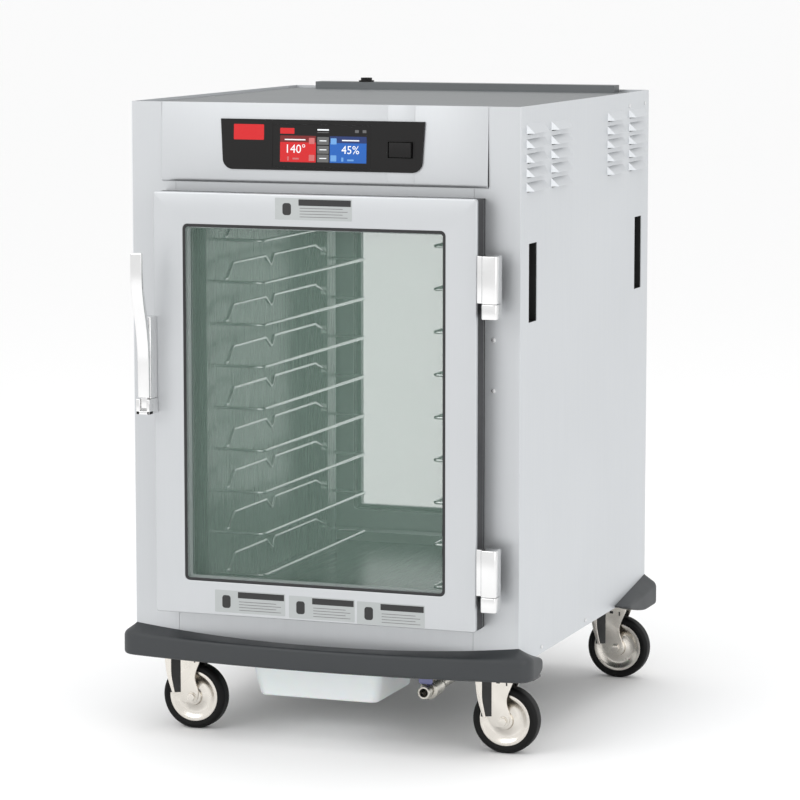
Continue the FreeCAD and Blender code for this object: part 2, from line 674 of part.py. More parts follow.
def handle_base():
    """Housing on the door's edge, the forked block under it and the leg that reaches the strike."""
    housing = box("housing", handle_x, (handle_front, f"-{door_face}"),
                  (handle_bottom, f"{handle_bottom} + handle_housing"))
    block = box("block", (f"{handle_x[0]} - 3", f"{handle_x[1]} + 1"),
                (f"{handle_front} - grip_thick - 2", f"-{door_face}"), (handle_bottom, block_top))
    leg = box("latch_leg", (handle_x[0], f"-{door_side}"), (f"-{door_face} - 1", f"-{face} - 6.5"),
              (f"{handle_bottom} + 30", f"{handle_bottom} + handle_housing - 20"))
    slot = box("tongue_slot", (f"{tongue_x[0]} - 0.3", f"{tongue_x[1]} + 0.3"),
               (f"{handle_front} - grip_thick - 3", f"{handle_front} + 4"),
               (f"{pin_z} - 9", f"{block_top} + 4"))
    bore = rod("lever_pin_hole", "lever_pin", "x", (pin_y, pin_z), f"{handle_x[0]} - 4",
               f"{handle_x[1]} + 2")
    return cut("handle_housing", fuse("housing_block", housing, block, leg), slot, bore)


def lever_pin():
    return rod("lever_pin_rod", "lever_pin", "x", (pin_y, pin_z), f"{handle_x[0]} - 3",
               f"{handle_x[1]} + 1")


def handle_lever():
    """Flat grip that lies on the housing and sweeps out to the fingers, on a tongue at its foot."""
    outer = f"({handle_front} - grip_thick - 0.5)"
    inner = f"({handle_front} - 0.5)"
    reach = f"(-{door_face} - handle_reach)"
    tip = f"({handle_bottom} + grip_height)"
    grip = prism("grip", "YZ", [
        (outer, f"{block_top} + 2"), (inner, f"{block_top} + 2"),
        (inner, f"{handle_bottom} + 128"), (f"{inner} - 6", f"{handle_bottom} + 152", "60"),
        (f"{reach} + grip_thick + 5", f"{handle_bottom} + 200"),
        (f"{reach} + grip_thick", f"{handle_bottom} + 228"), (f"{reach} + grip_thick", tip),
        (reach, tip), (reach, f"{handle_bottom} + 222"),
        (f"{reach} + 6", f"{handle_bottom} + 193"), (f"{outer} - 5", f"{handle_bottom} + 146"),
        (outer, f"{handle_bottom} + 122")], *handle_x)
    tongue = box("tongue", tongue_x, (f"{pin_y} - 3.5", f"{pin_y} + 3.5"),
                 (f"{pin_z} - 5", f"{block_top} + 4"))
    bore = rod("lever_bore", "lever_pin + running_gap", "x", (pin_y, pin_z), f"{handle_x[0]} - 1",
               f"{handle_x[1]} + 1")
    return cut("lever", fuse("grip_tongue", grip, tongue), bore)


fixed_hinges = []
for level in hinge_tops:
    fixed_hinges.extend(hinge_fixed(level))
strike = box("strike", (f"{handle_x[0]} - 6", f"{handle_x[0]} + 12"), (f"-{face} - 4", f"-{face}"),
             (f"{handle_bottom} + 20", f"{handle_bottom} + handle_housing - 10"))
door_pieces = {
    "frame": door_frame(), "core": door_core(), "glass": door_glass(), "gasket": door_gasket(),
    "hardware": group("door_hardware_set", *[hinge_moving(level) for level in hinge_tops],
                      handle_base(), lever_pin()),
    "lever": handle_lever(),
}
for piece, thing in door_pieces.items():
    front_piece = node(f"front_door_{piece}", thing)
    node(f"rear_door_{piece}", turned(f"rear_{piece}", front_piece))
front_fixed = group("fixed_hardware", *fixed_hinges, strike)
node("hinge_feet_and_strikes", group("all_fixed_hardware", front_fixed,
                                     turned("rear_fixed_hardware", front_fixed)))


# ---------------------------------------------------------------- controls
bezel_y = (f"-{header_face} - bezel_thick", f"-{header_face}")
screen_z = (f"{bezel_top} - 8 - screen_height", f"{bezel_top} - 8")
well_back = f"(-{header_face} + well_depth)"


def leaning_slab(name, front, back):
    """A slab parallel to the header's leaning face, from front to back of that face."""
    high = f"(header_height - header_roll)"
    return prism(name, "YZ", [
        (f"-{header_face} - {front}", f"{header_bottom} + header_roll"),
        (f"-{header_face} + {back}", f"{header_bottom} + header_roll"),
        (f"-{face} + {back}", top), (f"-{face} - {front}", top)], "-bezel_width", "bezel_width")


def bezel():
    """Black control surround with round lower corners, a screen opening and the switch well."""
    half = "(bezel_width / 2)"
    plate = common("leaning_plate", prism("bezel_plate", "XZ", [
        (f"-{half} + bezel_corner + bezel_draft", bezel_low),
        (f"{half} - bezel_corner - bezel_draft", bezel_low, "bezel_corner"),
        (f"{half} - bezel_draft", f"{bezel_low} + bezel_corner"), (half, bezel_top), (f"-{half}", bezel_top),
        (f"-{half} + bezel_draft", f"{bezel_low} + bezel_corner", "bezel_corner")],
        f"-{header_face} - 10", f"-{face} + 10"), leaning_slab("bezel_slab", "bezel_thick", "0"))
    screen_hole = box("screen_hole", ("-screen_width / 2", "screen_width / 2"),
                      (f"{bezel_y[0]} - 1", f"-{face} + 1"), screen_z)
    well = box("rocker_well", well_x, (f"-{header_face} - 0.5", well_back), well_z)
    hollow = box("well_hollow", rocker_x, (f"{bezel_y[0]} - 2", f"{well_back} - well_wall"), rocker_z)
    pin = rod("rocker_pin_rod", "rocker_pin", "z", ("rocker_place", rocker_y), *rocker_z)
    hollowed = cut("bezel_cut", fuse("bezel_well", plate, well), screen_hole, hollow)
    return fuse("bezel_and_pin", hollowed, pin)


rocker_y = f"({bezel_y[0]} + 7)"
node("control_bezel", bezel())
node("touch_display", common("display_slab", box(
    "display", ("-screen_width / 2 + part_gap / 2", "screen_width / 2 - part_gap / 2"),
    (f"{bezel_y[0]} - 1", f"-{face} + 1"),
    (f"{screen_z[0]} + part_gap / 2", f"{screen_z[1]} - part_gap / 2")),
    leaning_slab("display_face", "(bezel_thick - 0.3)", "0")))


def rocker():
    """See-saw switch cap on an upright pin; at rest its right half stands out."""
    half = "(rocker_width / 2 - 2)"
    cap = prism("rocker_cap", "XY", [
        (f"-{half}", "-6.5"), ("0", "-6"), (half, "-10.5"), (half, "3"), ("0", "5"), (f"-{half}", "1.5")],
        f"{rocker_z[0]} + 1", f"{rocker_z[1]} - 1")
    bore = rod("rocker_bore", "rocker_pin + running_gap", "z", ("0", "0"), rocker_z[0], rocker_z[1])
    return place(cut("rocker_bored", cap, bore), "rocker_place", rocker_y)


node("power_rocker", rocker())
board_y = f"(-{face} + 40)"
board = box("board", ("-board_half", "board_half"), (board_y, f"{board_y} + board_thick"),
            (f"{header_bottom} + frame_sheet", f"{top} - 20"))
chips = [box("chip", (f"{x} - chip_half", f"{x} + chip_half"), (f"{board_y} - chip_height", board_y),
             (f"{header_bottom} + 50", f"{header_bottom} + 78")) for x in (-80, -30, 25, 75)]
supply = box("supply", ("180", "290"), (f"-{face} + 70", f"-{face} + 190"), (ceiling, f"{ceiling} + 60"))
shelf = box("board_shelf", ("-board_half", "board_half"), (f"-{face} + 20", f"{board_y} + board_thick"),
            (f"{header_bottom} + frame_sheet", f"{header_bottom} + frame_sheet + board_thick"))
node("control_electronics", group("electronics", fuse("board_chips", board, shelf, *chips), supply))

# ---------------------------------------------------------------- air system
duct_y = ("blower_place - duct_length / 2", "blower_place + duct_length / 2")


def air_duct():
    """Open-bottomed box on the ceiling that spreads the blower's air to both side slots."""
    shell = box("duct_shell", ("-duct_half", "duct_half"), duct_y, (ceiling, f"{ceiling} + duct_height"))
    hollow = box("duct_hollow", ("-duct_half + skin", "duct_half - skin"),
                 (f"{duct_y[0]} + skin", f"{duct_y[1]} - skin"),
                 (f"{ceiling} - 1", f"{ceiling} + duct_height - skin"))
    bore = rod("shaft_hole", "shaft_radius * 2", "z", ("0", "blower_place"), ceiling,
               f"{ceiling} + duct_height + 1")
    return cut("duct", shell, hollow, bore)


node("air_duct", air_duct())
motor_low = f"({ceiling} + duct_height)"
motor_can = rod("motor_can", "motor_radius", "z", ("0", "blower_place"), motor_low,
                f"{motor_low} + motor_height")
motor_foot = rod("motor_flange", "motor_foot", "z", ("0", "blower_place"), motor_low, f"{motor_low} + 4")
motor_bore = rod("motor_bore", "shaft_radius + running_gap", "z", ("0", "blower_place"), f"{motor_low} - 1",
                 f"{motor_low} + 30")
node("blower_motor", cut("motor", fuse("motor_body", motor_can, motor_foot), motor_bore))


def impeller():
    """Forward-curved blower wheel on the motor's shaft."""
    low = f"({ceiling} + 6)"
    plate = rod("wheel_plate", "blower_radius", "z", ("0", "blower_place"), low, f"{low} + 2")
    shaft = rod("wheel_shaft", "shaft_radius", "z", ("0", "blower_place"), low, f"{motor_low} + 28")
    hub = rod("wheel_hub", "9", "z", ("0", "blower_place"), low, f"{low} + 16")
    blades = []
    for step in range(int(number("blade_count"))):
        blade = box("blade", ("0", "blade_length"), ("-1", "1"), ("0", "blower_height - 4"))
        angle = 360 * step / number("blade_count")
        blade.Placement.Rotation = Rotation(Vector(0, 0, 1), angle)
        lean = math.radians(angle)
        place(blade, f"(blower_radius - blade_length - 1) * {math.cos(lean):.6f}",
              f"blower_place + (blower_radius - blade_length - 1) * {math.sin(lean):.6f}", f"{low} + 1")
        blades.append(blade)
    return fuse("wheel", plate, shaft, hub, *blades)


node("impeller", impeller())
heater_z = f"({ceiling} + 24)"


def heater_loop(name, sign):
    """One hairpin of the air heater beside the impeller."""
    rods = [rod(name, "heater_rod", "y", (f"{sign} * {x}", heater_z), "blower_place - 80",
                "blower_place + 80") for x in (76, 94)]
    bend = rod(name + "_bend", "heater_rod", "x", ("blower_place + 80", heater_z), f"{sign} * 85 - 9",
               f"{sign} * 85 + 9")
    legs = [rod(name + "_leg", "heater_rod", "z", (f"{sign} * {x}", "blower_place - 80"), heater_z,
                f"{ceiling} + duct_height - skin") for x in (76, 94)]
    return fuse(name + "_loop", *rods, bend, *legs)


# ---------------------------------------------------------------- water
reservoir_top = "cavity_floor"
drain_y = f"({reservoir_y[1]} - drain_inset)"
water_z = f"{reservoir_top} - reservoir_depth + 14"


def reservoir():
    """Water tray hung under the floor opening."""
    rim = box("tray_rim", (f"{reservoir_x[0]} - tray_lap", f"{reservoir_x[1]} + tray_lap"),
              (f"{reservoir_y[0]} - tray_lap", f"{reservoir_y[1]} + tray_lap"),
              (f"{reservoir_top} - 1.5", reservoir_top))
    outer = box("tray_outer", (f"{reservoir_x[0]} + 0.5", f"{reservoir_x[1]} - 0.5"),
                (f"{reservoir_y[0]} + 0.5", f"{reservoir_y[1]} - 0.5"),
                (f"{reservoir_top} - reservoir_depth", reservoir_top))
    hollow = box("tray_hollow", (f"{reservoir_x[0]} + 2", f"{reservoir_x[1]} - 2"),
                 (f"{reservoir_y[0]} + 2", f"{reservoir_y[1]} - 2"),
                 (f"{reservoir_top} - reservoir_depth + 2", f"{reservoir_top} + 1"))
    drain = rod("tray_drain", "drain_bore", "z", ("valve_place", drain_y),
                f"{reservoir_top} - reservoir_depth - 1", f"{reservoir_top} - reservoir_depth + 3")
    return cut("tray", fuse("tray_and_rim", outer, rim), hollow, drain)


node("water_reservoir", reservoir())
cover_z = ("cavity_floor + liner", "cavity_floor + liner + 1")
cover = box("cover", (f"{reservoir_x[0]} - tray_lap", f"{reservoir_x[1]} + tray_lap"),
            (f"{reservoir_y[0]} - tray_lap", f"{reservoir_y[1]} + tray_lap"), cover_z)
vents = [box("vent", (f"{reservoir_x[0]} + 18 + {46 * i}", f"{reservoir_x[0]} + 42 + {46 * i}"),
             (f"{reservoir_y[0]} + 20 + {28 * j}", f"{reservoir_y[0]} + 25 + {28 * j}"),
             ("cavity_floor", "cavity_floor + liner + 3")) for i in range(5) for j in range(4)]
node("reservoir_cover", cut("cover_vented", cover, *vents))
water_rods = [rod("water_rod", "heater_rod", "x", (f"reservoir_place + {y}", water_z),
                  f"{reservoir_x[0]} + 2", "reservoir_centre + 90") for y in (35, 60)]
water_end = rod("water_end", "heater_rod", "y", ("reservoir_centre + 90", water_z),
                "reservoir_place + 35", "reservoir_place + 60")
node("heating_elements", group("heaters", heater_loop("left_heater", -1), heater_loop("right_heater", 1),
                               fuse("water_heater", *water_rods, water_end)))

# ---------------------------------------------------------------- base


def base_pan():
    """Chassis tray under the cabinet with a hole for the drain pipe."""
    outer = box("base_outer", (f"-{inner_side}", inner_side), (f"-{liner_reach}", liner_reach),
                ("base_height", "base_height + 16"))
    hollow = box("base_hollow", (f"-{inner_side} + frame_sheet", f"{inner_side} - frame_sheet"),
                 (f"-{liner_reach} + frame_sheet", f"{liner_reach} - frame_sheet"),
                 ("base_height + frame_sheet", "base_height + 17"))
    hole = rod("base_drain_hole", "drain_pipe + 2", "z", ("valve_place", drain_y), "base_height - 1",
               "base_height + 5")
    kings = [rod("king_hole", "kingpin + 6", "z", (x, y), "base_height - 1", "base_height + 5")
             for x, y in caster_spots().values()]
    return cut("base", outer, hollow, hole, *kings)


def caster_spots():
    """Swivel axis of each caster."""
    near = f"(-{face} + front_caster_inset)"
    far = f"({face} - rear_caster_inset)"
    half = f"({side} - caster_inset)"
    return {"front_left": (f"-{half}", near), "front_right": (half, near),
            "rear_left": (f"-{half}", far), "rear_right": (half, far)}


node("base_pan", base_pan())


def bumper(wrap, name):
    """Moulded end bumper: bowed along the middle, round at the corners, tapering along the sides."""
    half = f"({side} + bumper_side)"
    reach = f"({face} + bumper_reach)"
    corner = f"({reach} - bumper_bow)"
    tip = f"({face} - {wrap})"
    half_bow = f"({half} - bumper_corner)"
    bow_radius = f"({half_bow} * {half_bow} / (2 * bumper_bow) + bumper_bow / 2)"
    block = prism(name, "XY", [
        (f"-{half_bow}", f"-{corner}", bow_radius), (half_bow, f"-{corner}", "bumper_corner"),
        (half, f"-{corner} + bumper_corner"), (f"{side} + 8", f"-{tip}"), (side, f"-{tip}"),
        (side, f"-{face}"), (f"-{side}", f"-{face}"), (f"-{side}", f"-{tip}"),
        (f"-{side} - 8", f"-{tip}"), (f"-{half}", f"-{corner} + bumper_corner", "bumper_corner")],
        "bumper_bottom", "bumper_crown")
    dip = prism(name + "_dip", "XZ", [
        (f"-{side} + 80", "bumper_top"), (f"{side} - 80", "bumper_top"),
        (f"{side} - 30", "bumper_crown + 1"), (f"-{side} + 30", "bumper_crown + 1")],
        f"-{reach} - 1", f"-{face} + 1")
    tail = prism(name + "_tail", "YZ", [
        (f"-{face}", "bumper_crown"), (f"-{tip}", "base_height + 4"), (f"-{tip} + 1", "bumper_crown + 1"),
        (f"-{face}", "bumper_crown + 1")], f"-{half} - 1", f"{half} + 1")
    heel = prism(name + "_heel", "YZ", [
        (f"-{face} + 10", "bumper_bottom"), (f"-{face} + 10", "bumper_bottom - 1"),
        (f"-{tip} + 1", "bumper_bottom - 1"), (f"-{tip} + 1", "base_height - 8")],
        f"-{half} - 1", f"{half} + 1")
    return cut(name + "_shaped", block, dip, tail, heel)


node("front_bumper", bumper("bumper_front_wrap", "bumper_f"))
node("rear_bumper", turned("bumper_rear", bumper("bumper_rear_wrap", "bumper_r")))

# ---------------------------------------------------------------- casters
plate_low = "(base_height - plate_thick)"
race_low = f"({plate_low} - race_height)"
crown_top = f"({race_low} - race_gap)"
leg_top = f"({crown_top} - 10)"
leg_in = "(tread_width / 2 + fork_gap)"


def caster_plate(x, y):
    """Top plate and upper race, bored for the kingpin."""
    plate = box("plate", (f"{x} - plate_length / 2", f"{x} + plate_length / 2"),
                (f"{y} - plate_width / 2", f"{y} + plate_width / 2"), (plate_low, "base_height"))
    race = rod("race", "race_radius", "z", (x, y), race_low, f"{plate_low} + 1")
    bore = rod("king_bore", "kingpin + running_gap", "z", (x, y), f"{race_low} - 1", "base_height + 1")
    return cut("caster_plate", fuse("plate_race", plate, race), bore)


def caster_fork(name, x, y):
    """Swivelling fork: crown and kingpin, two pressed legs with a step down each, and the axle bolt."""
    crown = rod(name + "_crown", "race_radius", "z", (x, y), f"{leg_top} - 4", crown_top)
    bridge = box(name + "_bridge", (f"{x} - 26", f"{x} + 30"),
                 (f"{y} - {leg_in} - fork_sheet", f"{y} + {leg_in} + fork_sheet"),
                 (f"{leg_top} - 4", leg_top))
    king = rod(name + "_king", "kingpin", "z", (x, y), f"{crown_top} - 4", "base_height + 2")
    legs = []
    for sign in (-1, 1):
        leg = prism(name + "_leg", "XZ", [
            (f"{x} - 16", "wheel_radius - 12"), (f"{x} + caster_trail + 14", "wheel_radius - 12"),
            (f"{x} + caster_trail + 22", leg_top), (f"{x} - 26", leg_top)],
            *((f"{y} - {leg_in} - fork_sheet", f"{y} - {leg_in}") if sign < 0 else
              (f"{y} + {leg_in}", f"{y} + {leg_in} + fork_sheet")))
        legs.append(leg)
    axle_x = f"({x} + caster_trail)"
    axle = rod(name + "_axle", "axle_radius", "y", (axle_x, "wheel_radius"),
               f"{y} - {leg_in} - fork_sheet - 1", f"{y} + {leg_in} + fork_sheet + 1")
    heads = [rod(name + "_head", "axle_head", "y", (axle_x, "wheel_radius"), *span) for span in (
        (f"{y} - {leg_in} - fork_sheet - axle_head_length", f"{y} - {leg_in} - fork_sheet"),
        (f"{y} + {leg_in} + fork_sheet", f"{y} + {leg_in} + fork_sheet + axle_head_length"))]
    return fuse(name + "_fork", crown, bridge, king, *legs, axle, *heads)


def wheel_ring(name, x, y, points):
    """A turned piece about the wheel's axle, from an outline of radius against width."""
    part = body(name)
    drawing = sketch(part, "XY")
    outline(drawing, points)
    revolve(part, drawing)
    part.Placement = FreeCAD.Placement(Vector(), Rotation())
    return place(part, f"{x} + caster_trail", y, "wheel_radius")


def wheel_core(name, x, y):
    """Pressed disc wheel with a hub that runs on the axle."""
    half = "(tread_width / 2)"
    return wheel_ring(name, x, y, [
        ("axle_radius + running_gap", f"-{half} - 3"), ("hub_radius", f"-{half} - 3"),
        ("hub_radius + 2", f"-{half} + 3"),
        ("core_radius - 6", f"-{half} + 4"), ("core_radius", f"-{half} + 2"),
        ("core_radius", f"{half} - 2"), ("core_radius - 6", f"{half} - 4"),
        ("hub_radius + 2", f"{half} - 3"), ("hub_radius", f"{half} + 3"),
        ("axle_radius + running_gap", f"{half} + 3")])


def tyre(name, x, y):
    """Solid tyre with a rounded crown."""
    half = "(tread_width / 2)"
    return wheel_ring(name, x, y, [
        ("core_radius", f"-{half} + 2"), ("wheel_radius - 6", f"-{half}"),
        ("wheel_radius - 1.6", f"-{half} + 3"), ("wheel_radius", f"-{half} + 8"),
        ("wheel_radius", f"{half} - 8"), ("wheel_radius - 1.6", f"{half} - 3"),
        ("wheel_radius - 6", half), ("core_radius", f"{half} - 2")])


def brake_pedal(name, x, y):
    """Pressed pedal on a cross pin behind the fork's crown."""
    pivot_x = f"({x} + brake_offset)"
    pivot_z = f"({crown_top} - brake_drop)"
    tread_plate = prism(name + "_plate", "XZ", [
        (f"{pivot_x} - 4", f"{pivot_z} - 4"), (f"{pivot_x} + 10", f"{pivot_z} - 3"),
        (f"{pivot_x} + 44", f"{pivot_z} + 1"), (f"{pivot_x} + 44", f"{pivot_z} + 5"),
        (f"{pivot_x} + 4", f"{pivot_z} + 5"), (f"{pivot_x} - 4", f"{pivot_z} + 4")],
        f"{y} - {leg_in} + 1", f"{y} + {leg_in} - 1")
    bore = rod(name + "_bore", "brake_pin + running_gap", "y", (pivot_x, pivot_z), f"{y} - 40", f"{y} + 40")
    return cut(name + "_pedal", tread_plate, bore)


plates = []
for spot, (x, y) in caster_spots().items():
    plates.append(caster_plate(x, y))
    fork = caster_fork(f"fork_{spot}", x, y)
    if spot.startswith("front"):
        pin = rod(f"brake_pin_{spot}", "brake_pin", "y",
                  (f"{x} + brake_offset", f"{crown_top} - brake_drop"),
                  f"{y} - {leg_in} - fork_sheet", f"{y} + {leg_in} + fork_sheet")
        fork = fuse(f"braked_fork_{spot}", fork, pin)
        node(f"brake_{spot}", brake_pedal(f"brake_part_{spot}", x, y))
    node(f"fork_{spot}", fork)
    node(f"wheel_{spot}", wheel_core(f"core_{spot}", x, y))
    node(f"tyre_{spot}", tyre(f"tyre_part_{spot}", x, y))
node("caster_plates", group("plates", *plates))

# ---------------------------------------------------------------- drip pan
pan_low_x = ("pan_centre - pan_width / 2", "pan_centre + pan_width / 2")
pan_low_y = ("pan_front", "pan_front + pan_length")
pan_rim = "(pan_bottom + pan_depth)"
pan_lap = "(pan_draft + pan_flange)"


def tapered(name, inset, low, high, grow):
    """A block whose sides spread by grow on their way up; inset shrinks it all round."""
    x = (f"{pan_low_x[0]} + {inset}", f"{pan_low_x[1]} - {inset}")
    y = (f"{pan_low_y[0]} + {inset}", f"{pan_low_y[1]} - {inset}")
    solid = doc.addObject("Part::Wedge", name)
    wide = f"({x[1]}) - ({x[0]})"
    long = f"({y[1]}) - ({y[0]})"
    sizes = {"Xmin": "0", "Xmax": wide, "Zmin": "0", "Zmax": long, "X2min": f"-({grow})",
             "X2max": f"{wide} + {grow}", "Z2min": f"-({grow})", "Z2max": f"{long} + {grow}",
             "Ymin": "0", "Ymax": f"({high}) - ({low})"}
    for size, text in sizes.items():
        solid.setExpression(size, bound(text))
    solid.Placement = FreeCAD.Placement(Vector(), Rotation(Vector(1, 0, 0), 90))
    return place(solid, x[0], y[1], low)


def drip_pan():
    """Tapered food pan that hangs by its rim between two rails."""
    outer = tapered("pan_outer", "0", "pan_bottom", pan_rim, "pan_draft")
    rim = box("pan_rim", (f"{pan_low_x[0]} - {pan_lap}", f"{pan_low_x[1]} + {pan_lap}"),
              (f"{pan_low_y[0]} - {pan_lap}", f"{pan_low_y[1]} + {pan_lap}"),
              (f"{pan_rim} - pan_wall", pan_rim))
    hollow = tapered("pan_hollow", "pan_wall", "pan_bottom + pan_wall", f"{pan_rim} + 1", "pan_draft")
    return cut("pan", fuse("pan_body", outer, rim), hollow)


node("drip_pan", drip_pan())


def pan_rail():
    """Angle under the base that the pan's rim slides on."""
    edge = f"({pan_low_x[1]} + pan_draft)"
    low = f"({pan_rim} - pan_wall - part_gap - 2)"
    return prism("pan_rail", "XZ", [
        (f"{edge} + 2", low), (f"{edge} + pan_flange + 4", low),
        (f"{edge} + pan_flange + 4", "base_height - 2"),
        (f"{edge} + 26", "base_height - 2"), (f"{edge} + 26", "base_height"),
        (f"{edge} + pan_flange + 2", "base_height"), (f"{edge} + pan_flange + 2", f"{low} + 2"),
        (f"{edge} + 2", f"{low} + 2")],
        f"{pan_low_y[0]} - {pan_lap} - 2", f"{pan_low_y[1]} + {pan_lap} + 12")


right_rail = pan_rail()
left_rail = mirrored("pan_rail_twin", right_rail, Vector(1, 0, 0))
left_rail.setExpression("Base.x", bound("pan_centre"))
node("pan_rails", group("rails", right_rail, left_rail))

# ---------------------------------------------------------------- drain valve
ball_y = "(valve_outlet + 46)"
valve_back = f"({ball_y} + valve_length / 2)"
neck_top = "(valve_height + neck_height)"


def valve():
    """Ball valve: body with seat, outlet nozzle, hex end and the pipe down from the reservoir."""
    centre = ("valve_place", "valve_height")
    barrel = rod("barrel", "valve_barrel", "y", centre, f"{ball_y} - 20", f"{ball_y} + 20")
    nozzle = rod("nozzle", "valve_nozzle", "y", centre, "valve_outlet", ball_y)
    hexagon = rod("hex_end", "valve_hex", "y", centre, ball_y, f"{valve_back} + 6")
    run = rod("drain_run", "drain_pipe", "y", centre, f"{valve_back}", f"{drain_y} + drain_pipe")
    riser = rod("drain_riser", "drain_pipe", "z", ("valve_place", drain_y), "valve_height",
                f"{reservoir_top} - reservoir_depth")
    neck = rod("stem_neck", "neck_radius", "z", ("valve_place", ball_y), "valve_height", neck_top)
    seat = doc.addObject("Part::Sphere", "ball_seat")
    seat.setExpression("Radius", bound("ball_radius + running_gap"))
    place(seat, "valve_place", ball_y, "valve_height")
    socket = rod("outlet_socket", "drain_bore", "y", centre, "valve_outlet - 1",
                 "valve_outlet + socket_length")
    flow = rod("flow_way", "flow_bore", "y", centre, "valve_outlet - 1", drain_y)
    drop = rod("drop_bore", "drain_bore", "z", ("valve_place", drain_y), "valve_height",
               f"{reservoir_top} - reservoir_depth + 1")
    stem_bore = rod("stem_bore", "stem_radius + running_gap", "z", ("valve_place", ball_y),
                    "valve_height", f"{neck_top} + 1")
    return cut("valve_bored", fuse("valve_solid", barrel, nozzle, hexagon, run, riser, neck),
               seat, socket, flow, drop, stem_bore)


node("valve_body", valve())


def valve_lever():
    """Ball, stem and coloured lever whose end turns up over the nozzle."""
    ball = doc.addObject("Part::Sphere", "ball")
    ball.setExpression("Radius", bound("ball_radius"))
    place(ball, "valve_place", ball_y, "valve_height")
    stem = rod("stem", "stem_radius", "z", ("valve_place", ball_y), "valve_height", f"{neck_top} + 4")
    flow = rod("ball_bore", "flow_bore", "y", ("valve_place", "valve_height"), f"{ball_y} - 20",
               f"{ball_y} + 20")
    hub = rod("lever_boss", "lever_hub", "z", ("valve_place", ball_y), f"{neck_top} + part_gap",
              f"{neck_top} + 5")
    arm = box("lever_arm", ("valve_place - lever_hub", "valve_place + lever_hub"),
              (f"{ball_y} - 34", ball_y), (f"{neck_top} + part_gap", f"{neck_top} + 4"))
    paddle = box("lever_paddle", ("valve_place - 13", "valve_place + 13"),
                 (f"{ball_y} - 37", f"{ball_y} - 33"), (f"{neck_top} - 8", f"{neck_top} + 16"))
    return fuse("lever_and_ball", cut("ball_bored", fuse("ball_stem", ball, stem), flow), hub, arm, paddle)


node("valve_lever", valve_lever())

# ---------------------------------------------------------------- top gland and screws
gland_spot = ("gland_place", f"{riser_back} - riser_depth / 2")
gland_low = f"({top} + riser_height)"
gland_solid = fuse(
    "gland_solid", rod("gland_flange", "gland_radius", "z", gland_spot, gland_low, f"{gland_low} + 3"),
    rod("gland_neck", "gland_radius - 4", "z", gland_spot, gland_low, f"{gland_low} + gland_height"),
    rod("gland_shank", "gland_bore + 2.5", "z", gland_spot, f"{gland_low} - 8", gland_low))
gland_hole = rod("gland_bore_hole", "gland_bore", "z", gland_spot, f"{gland_low} - 9",
                 f"{gland_low} + gland_height + 1")
node("cord_gland", cut("gland", gland_solid, gland_hole))


def screws():
    """Pan heads seen on the outside: sides, lid, hinge post and caster bolts."""
    heads = []
    for sign in (-1, 1):
        for y, z in ((f"-{face} + 125", "base_height + 12"), ("-3", "base_height + 12"),
                     (f"{face} - 134", f"{top} - 25"), (f"{face} - 30", f"{top} - 24")):
            span = (side, f"{side} + screw_head")
            if sign < 0:
                span = (f"-{side} - screw_head", f"-{side}")
            heads.append(rod("side_screw", "screw_radius", "x", (y, z), *span))
        for z in (f"{top} - 401", f"{top} - 489"):
            span = (f"-{face} - screw_head", f"-{face}")
            if sign < 0:
                span = (face, f"{face} + screw_head")
            heads.append(rod("post_screw", "post_screw", "y",
                             (f"{sign} * ({side} - 48)", z), *span))
    for spot in lid_screw_spots():
        heads.append(rod("lid_screw", "screw_radius", "z", spot, f"{top_sheet} - skin", top_sheet))
    for x, y in caster_spots().values():
        for dx in (-1, 1):
            for dy in (-1, 1):
                heads.append(rod("caster_bolt", "bolt_radius", "z",
                                 (f"{x} + {dx} * (plate_length / 2 - 10)",
                                  f"{y} + {dy} * (plate_width / 2 - 8)"),
                                 f"{plate_low} - bolt_head", plate_low))
    return group("screw_set", *heads)


node("screws", screws())


def finish():
    """Work the document out, look for faults and write one file for each piece."""
    doc.recompute()
    for thing in doc.Objects:
        if "Invalid" in thing.State or "Error" in thing.State:
            raise RuntimeError(f"{thing.Label}: {thing.State}")
    os.makedirs("parts", exist_ok=True)
    for thing in nodes:
        shape = thing.Shape
        if shape.isNull() or not shape.isValid():
            raise RuntimeError(f"{thing.Label} has no valid shape")
        shape.exportStep(f"parts/{thing.Label}.step")
        print(thing.Label, len(shape.Solids), [round(v, 1) for v in (shape.BoundBox.XMin,
              shape.BoundBox.XMax, shape.BoundBox.YMin, shape.BoundBox.YMax, shape.BoundBox.ZMin,
              shape.BoundBox.ZMax)])


finish()
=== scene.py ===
# %% [markdown]
# # A food holding cabinet
#
# This lesson dresses a holding cabinet on casters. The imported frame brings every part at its
# true place, and its joints. Each visible part is then either given a better finish or replaced
# by a surface worked out with numpy, whose edges are rolled and whose corners are round.

# %% Frame
import math

import bpy
import numpy as np
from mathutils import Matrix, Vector


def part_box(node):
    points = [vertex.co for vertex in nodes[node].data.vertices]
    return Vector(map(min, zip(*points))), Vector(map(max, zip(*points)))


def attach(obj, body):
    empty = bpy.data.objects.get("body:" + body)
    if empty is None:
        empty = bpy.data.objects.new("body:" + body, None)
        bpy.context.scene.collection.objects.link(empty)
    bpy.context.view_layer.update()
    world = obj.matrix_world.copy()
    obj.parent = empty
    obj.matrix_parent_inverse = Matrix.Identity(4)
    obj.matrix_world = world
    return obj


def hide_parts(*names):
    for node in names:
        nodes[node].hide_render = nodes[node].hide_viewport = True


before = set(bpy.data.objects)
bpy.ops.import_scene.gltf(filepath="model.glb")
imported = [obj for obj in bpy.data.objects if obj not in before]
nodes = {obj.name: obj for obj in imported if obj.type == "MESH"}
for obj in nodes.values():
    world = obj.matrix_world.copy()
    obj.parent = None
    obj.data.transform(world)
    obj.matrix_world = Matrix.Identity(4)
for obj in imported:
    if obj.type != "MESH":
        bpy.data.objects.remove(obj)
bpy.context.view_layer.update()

MM = 0.001

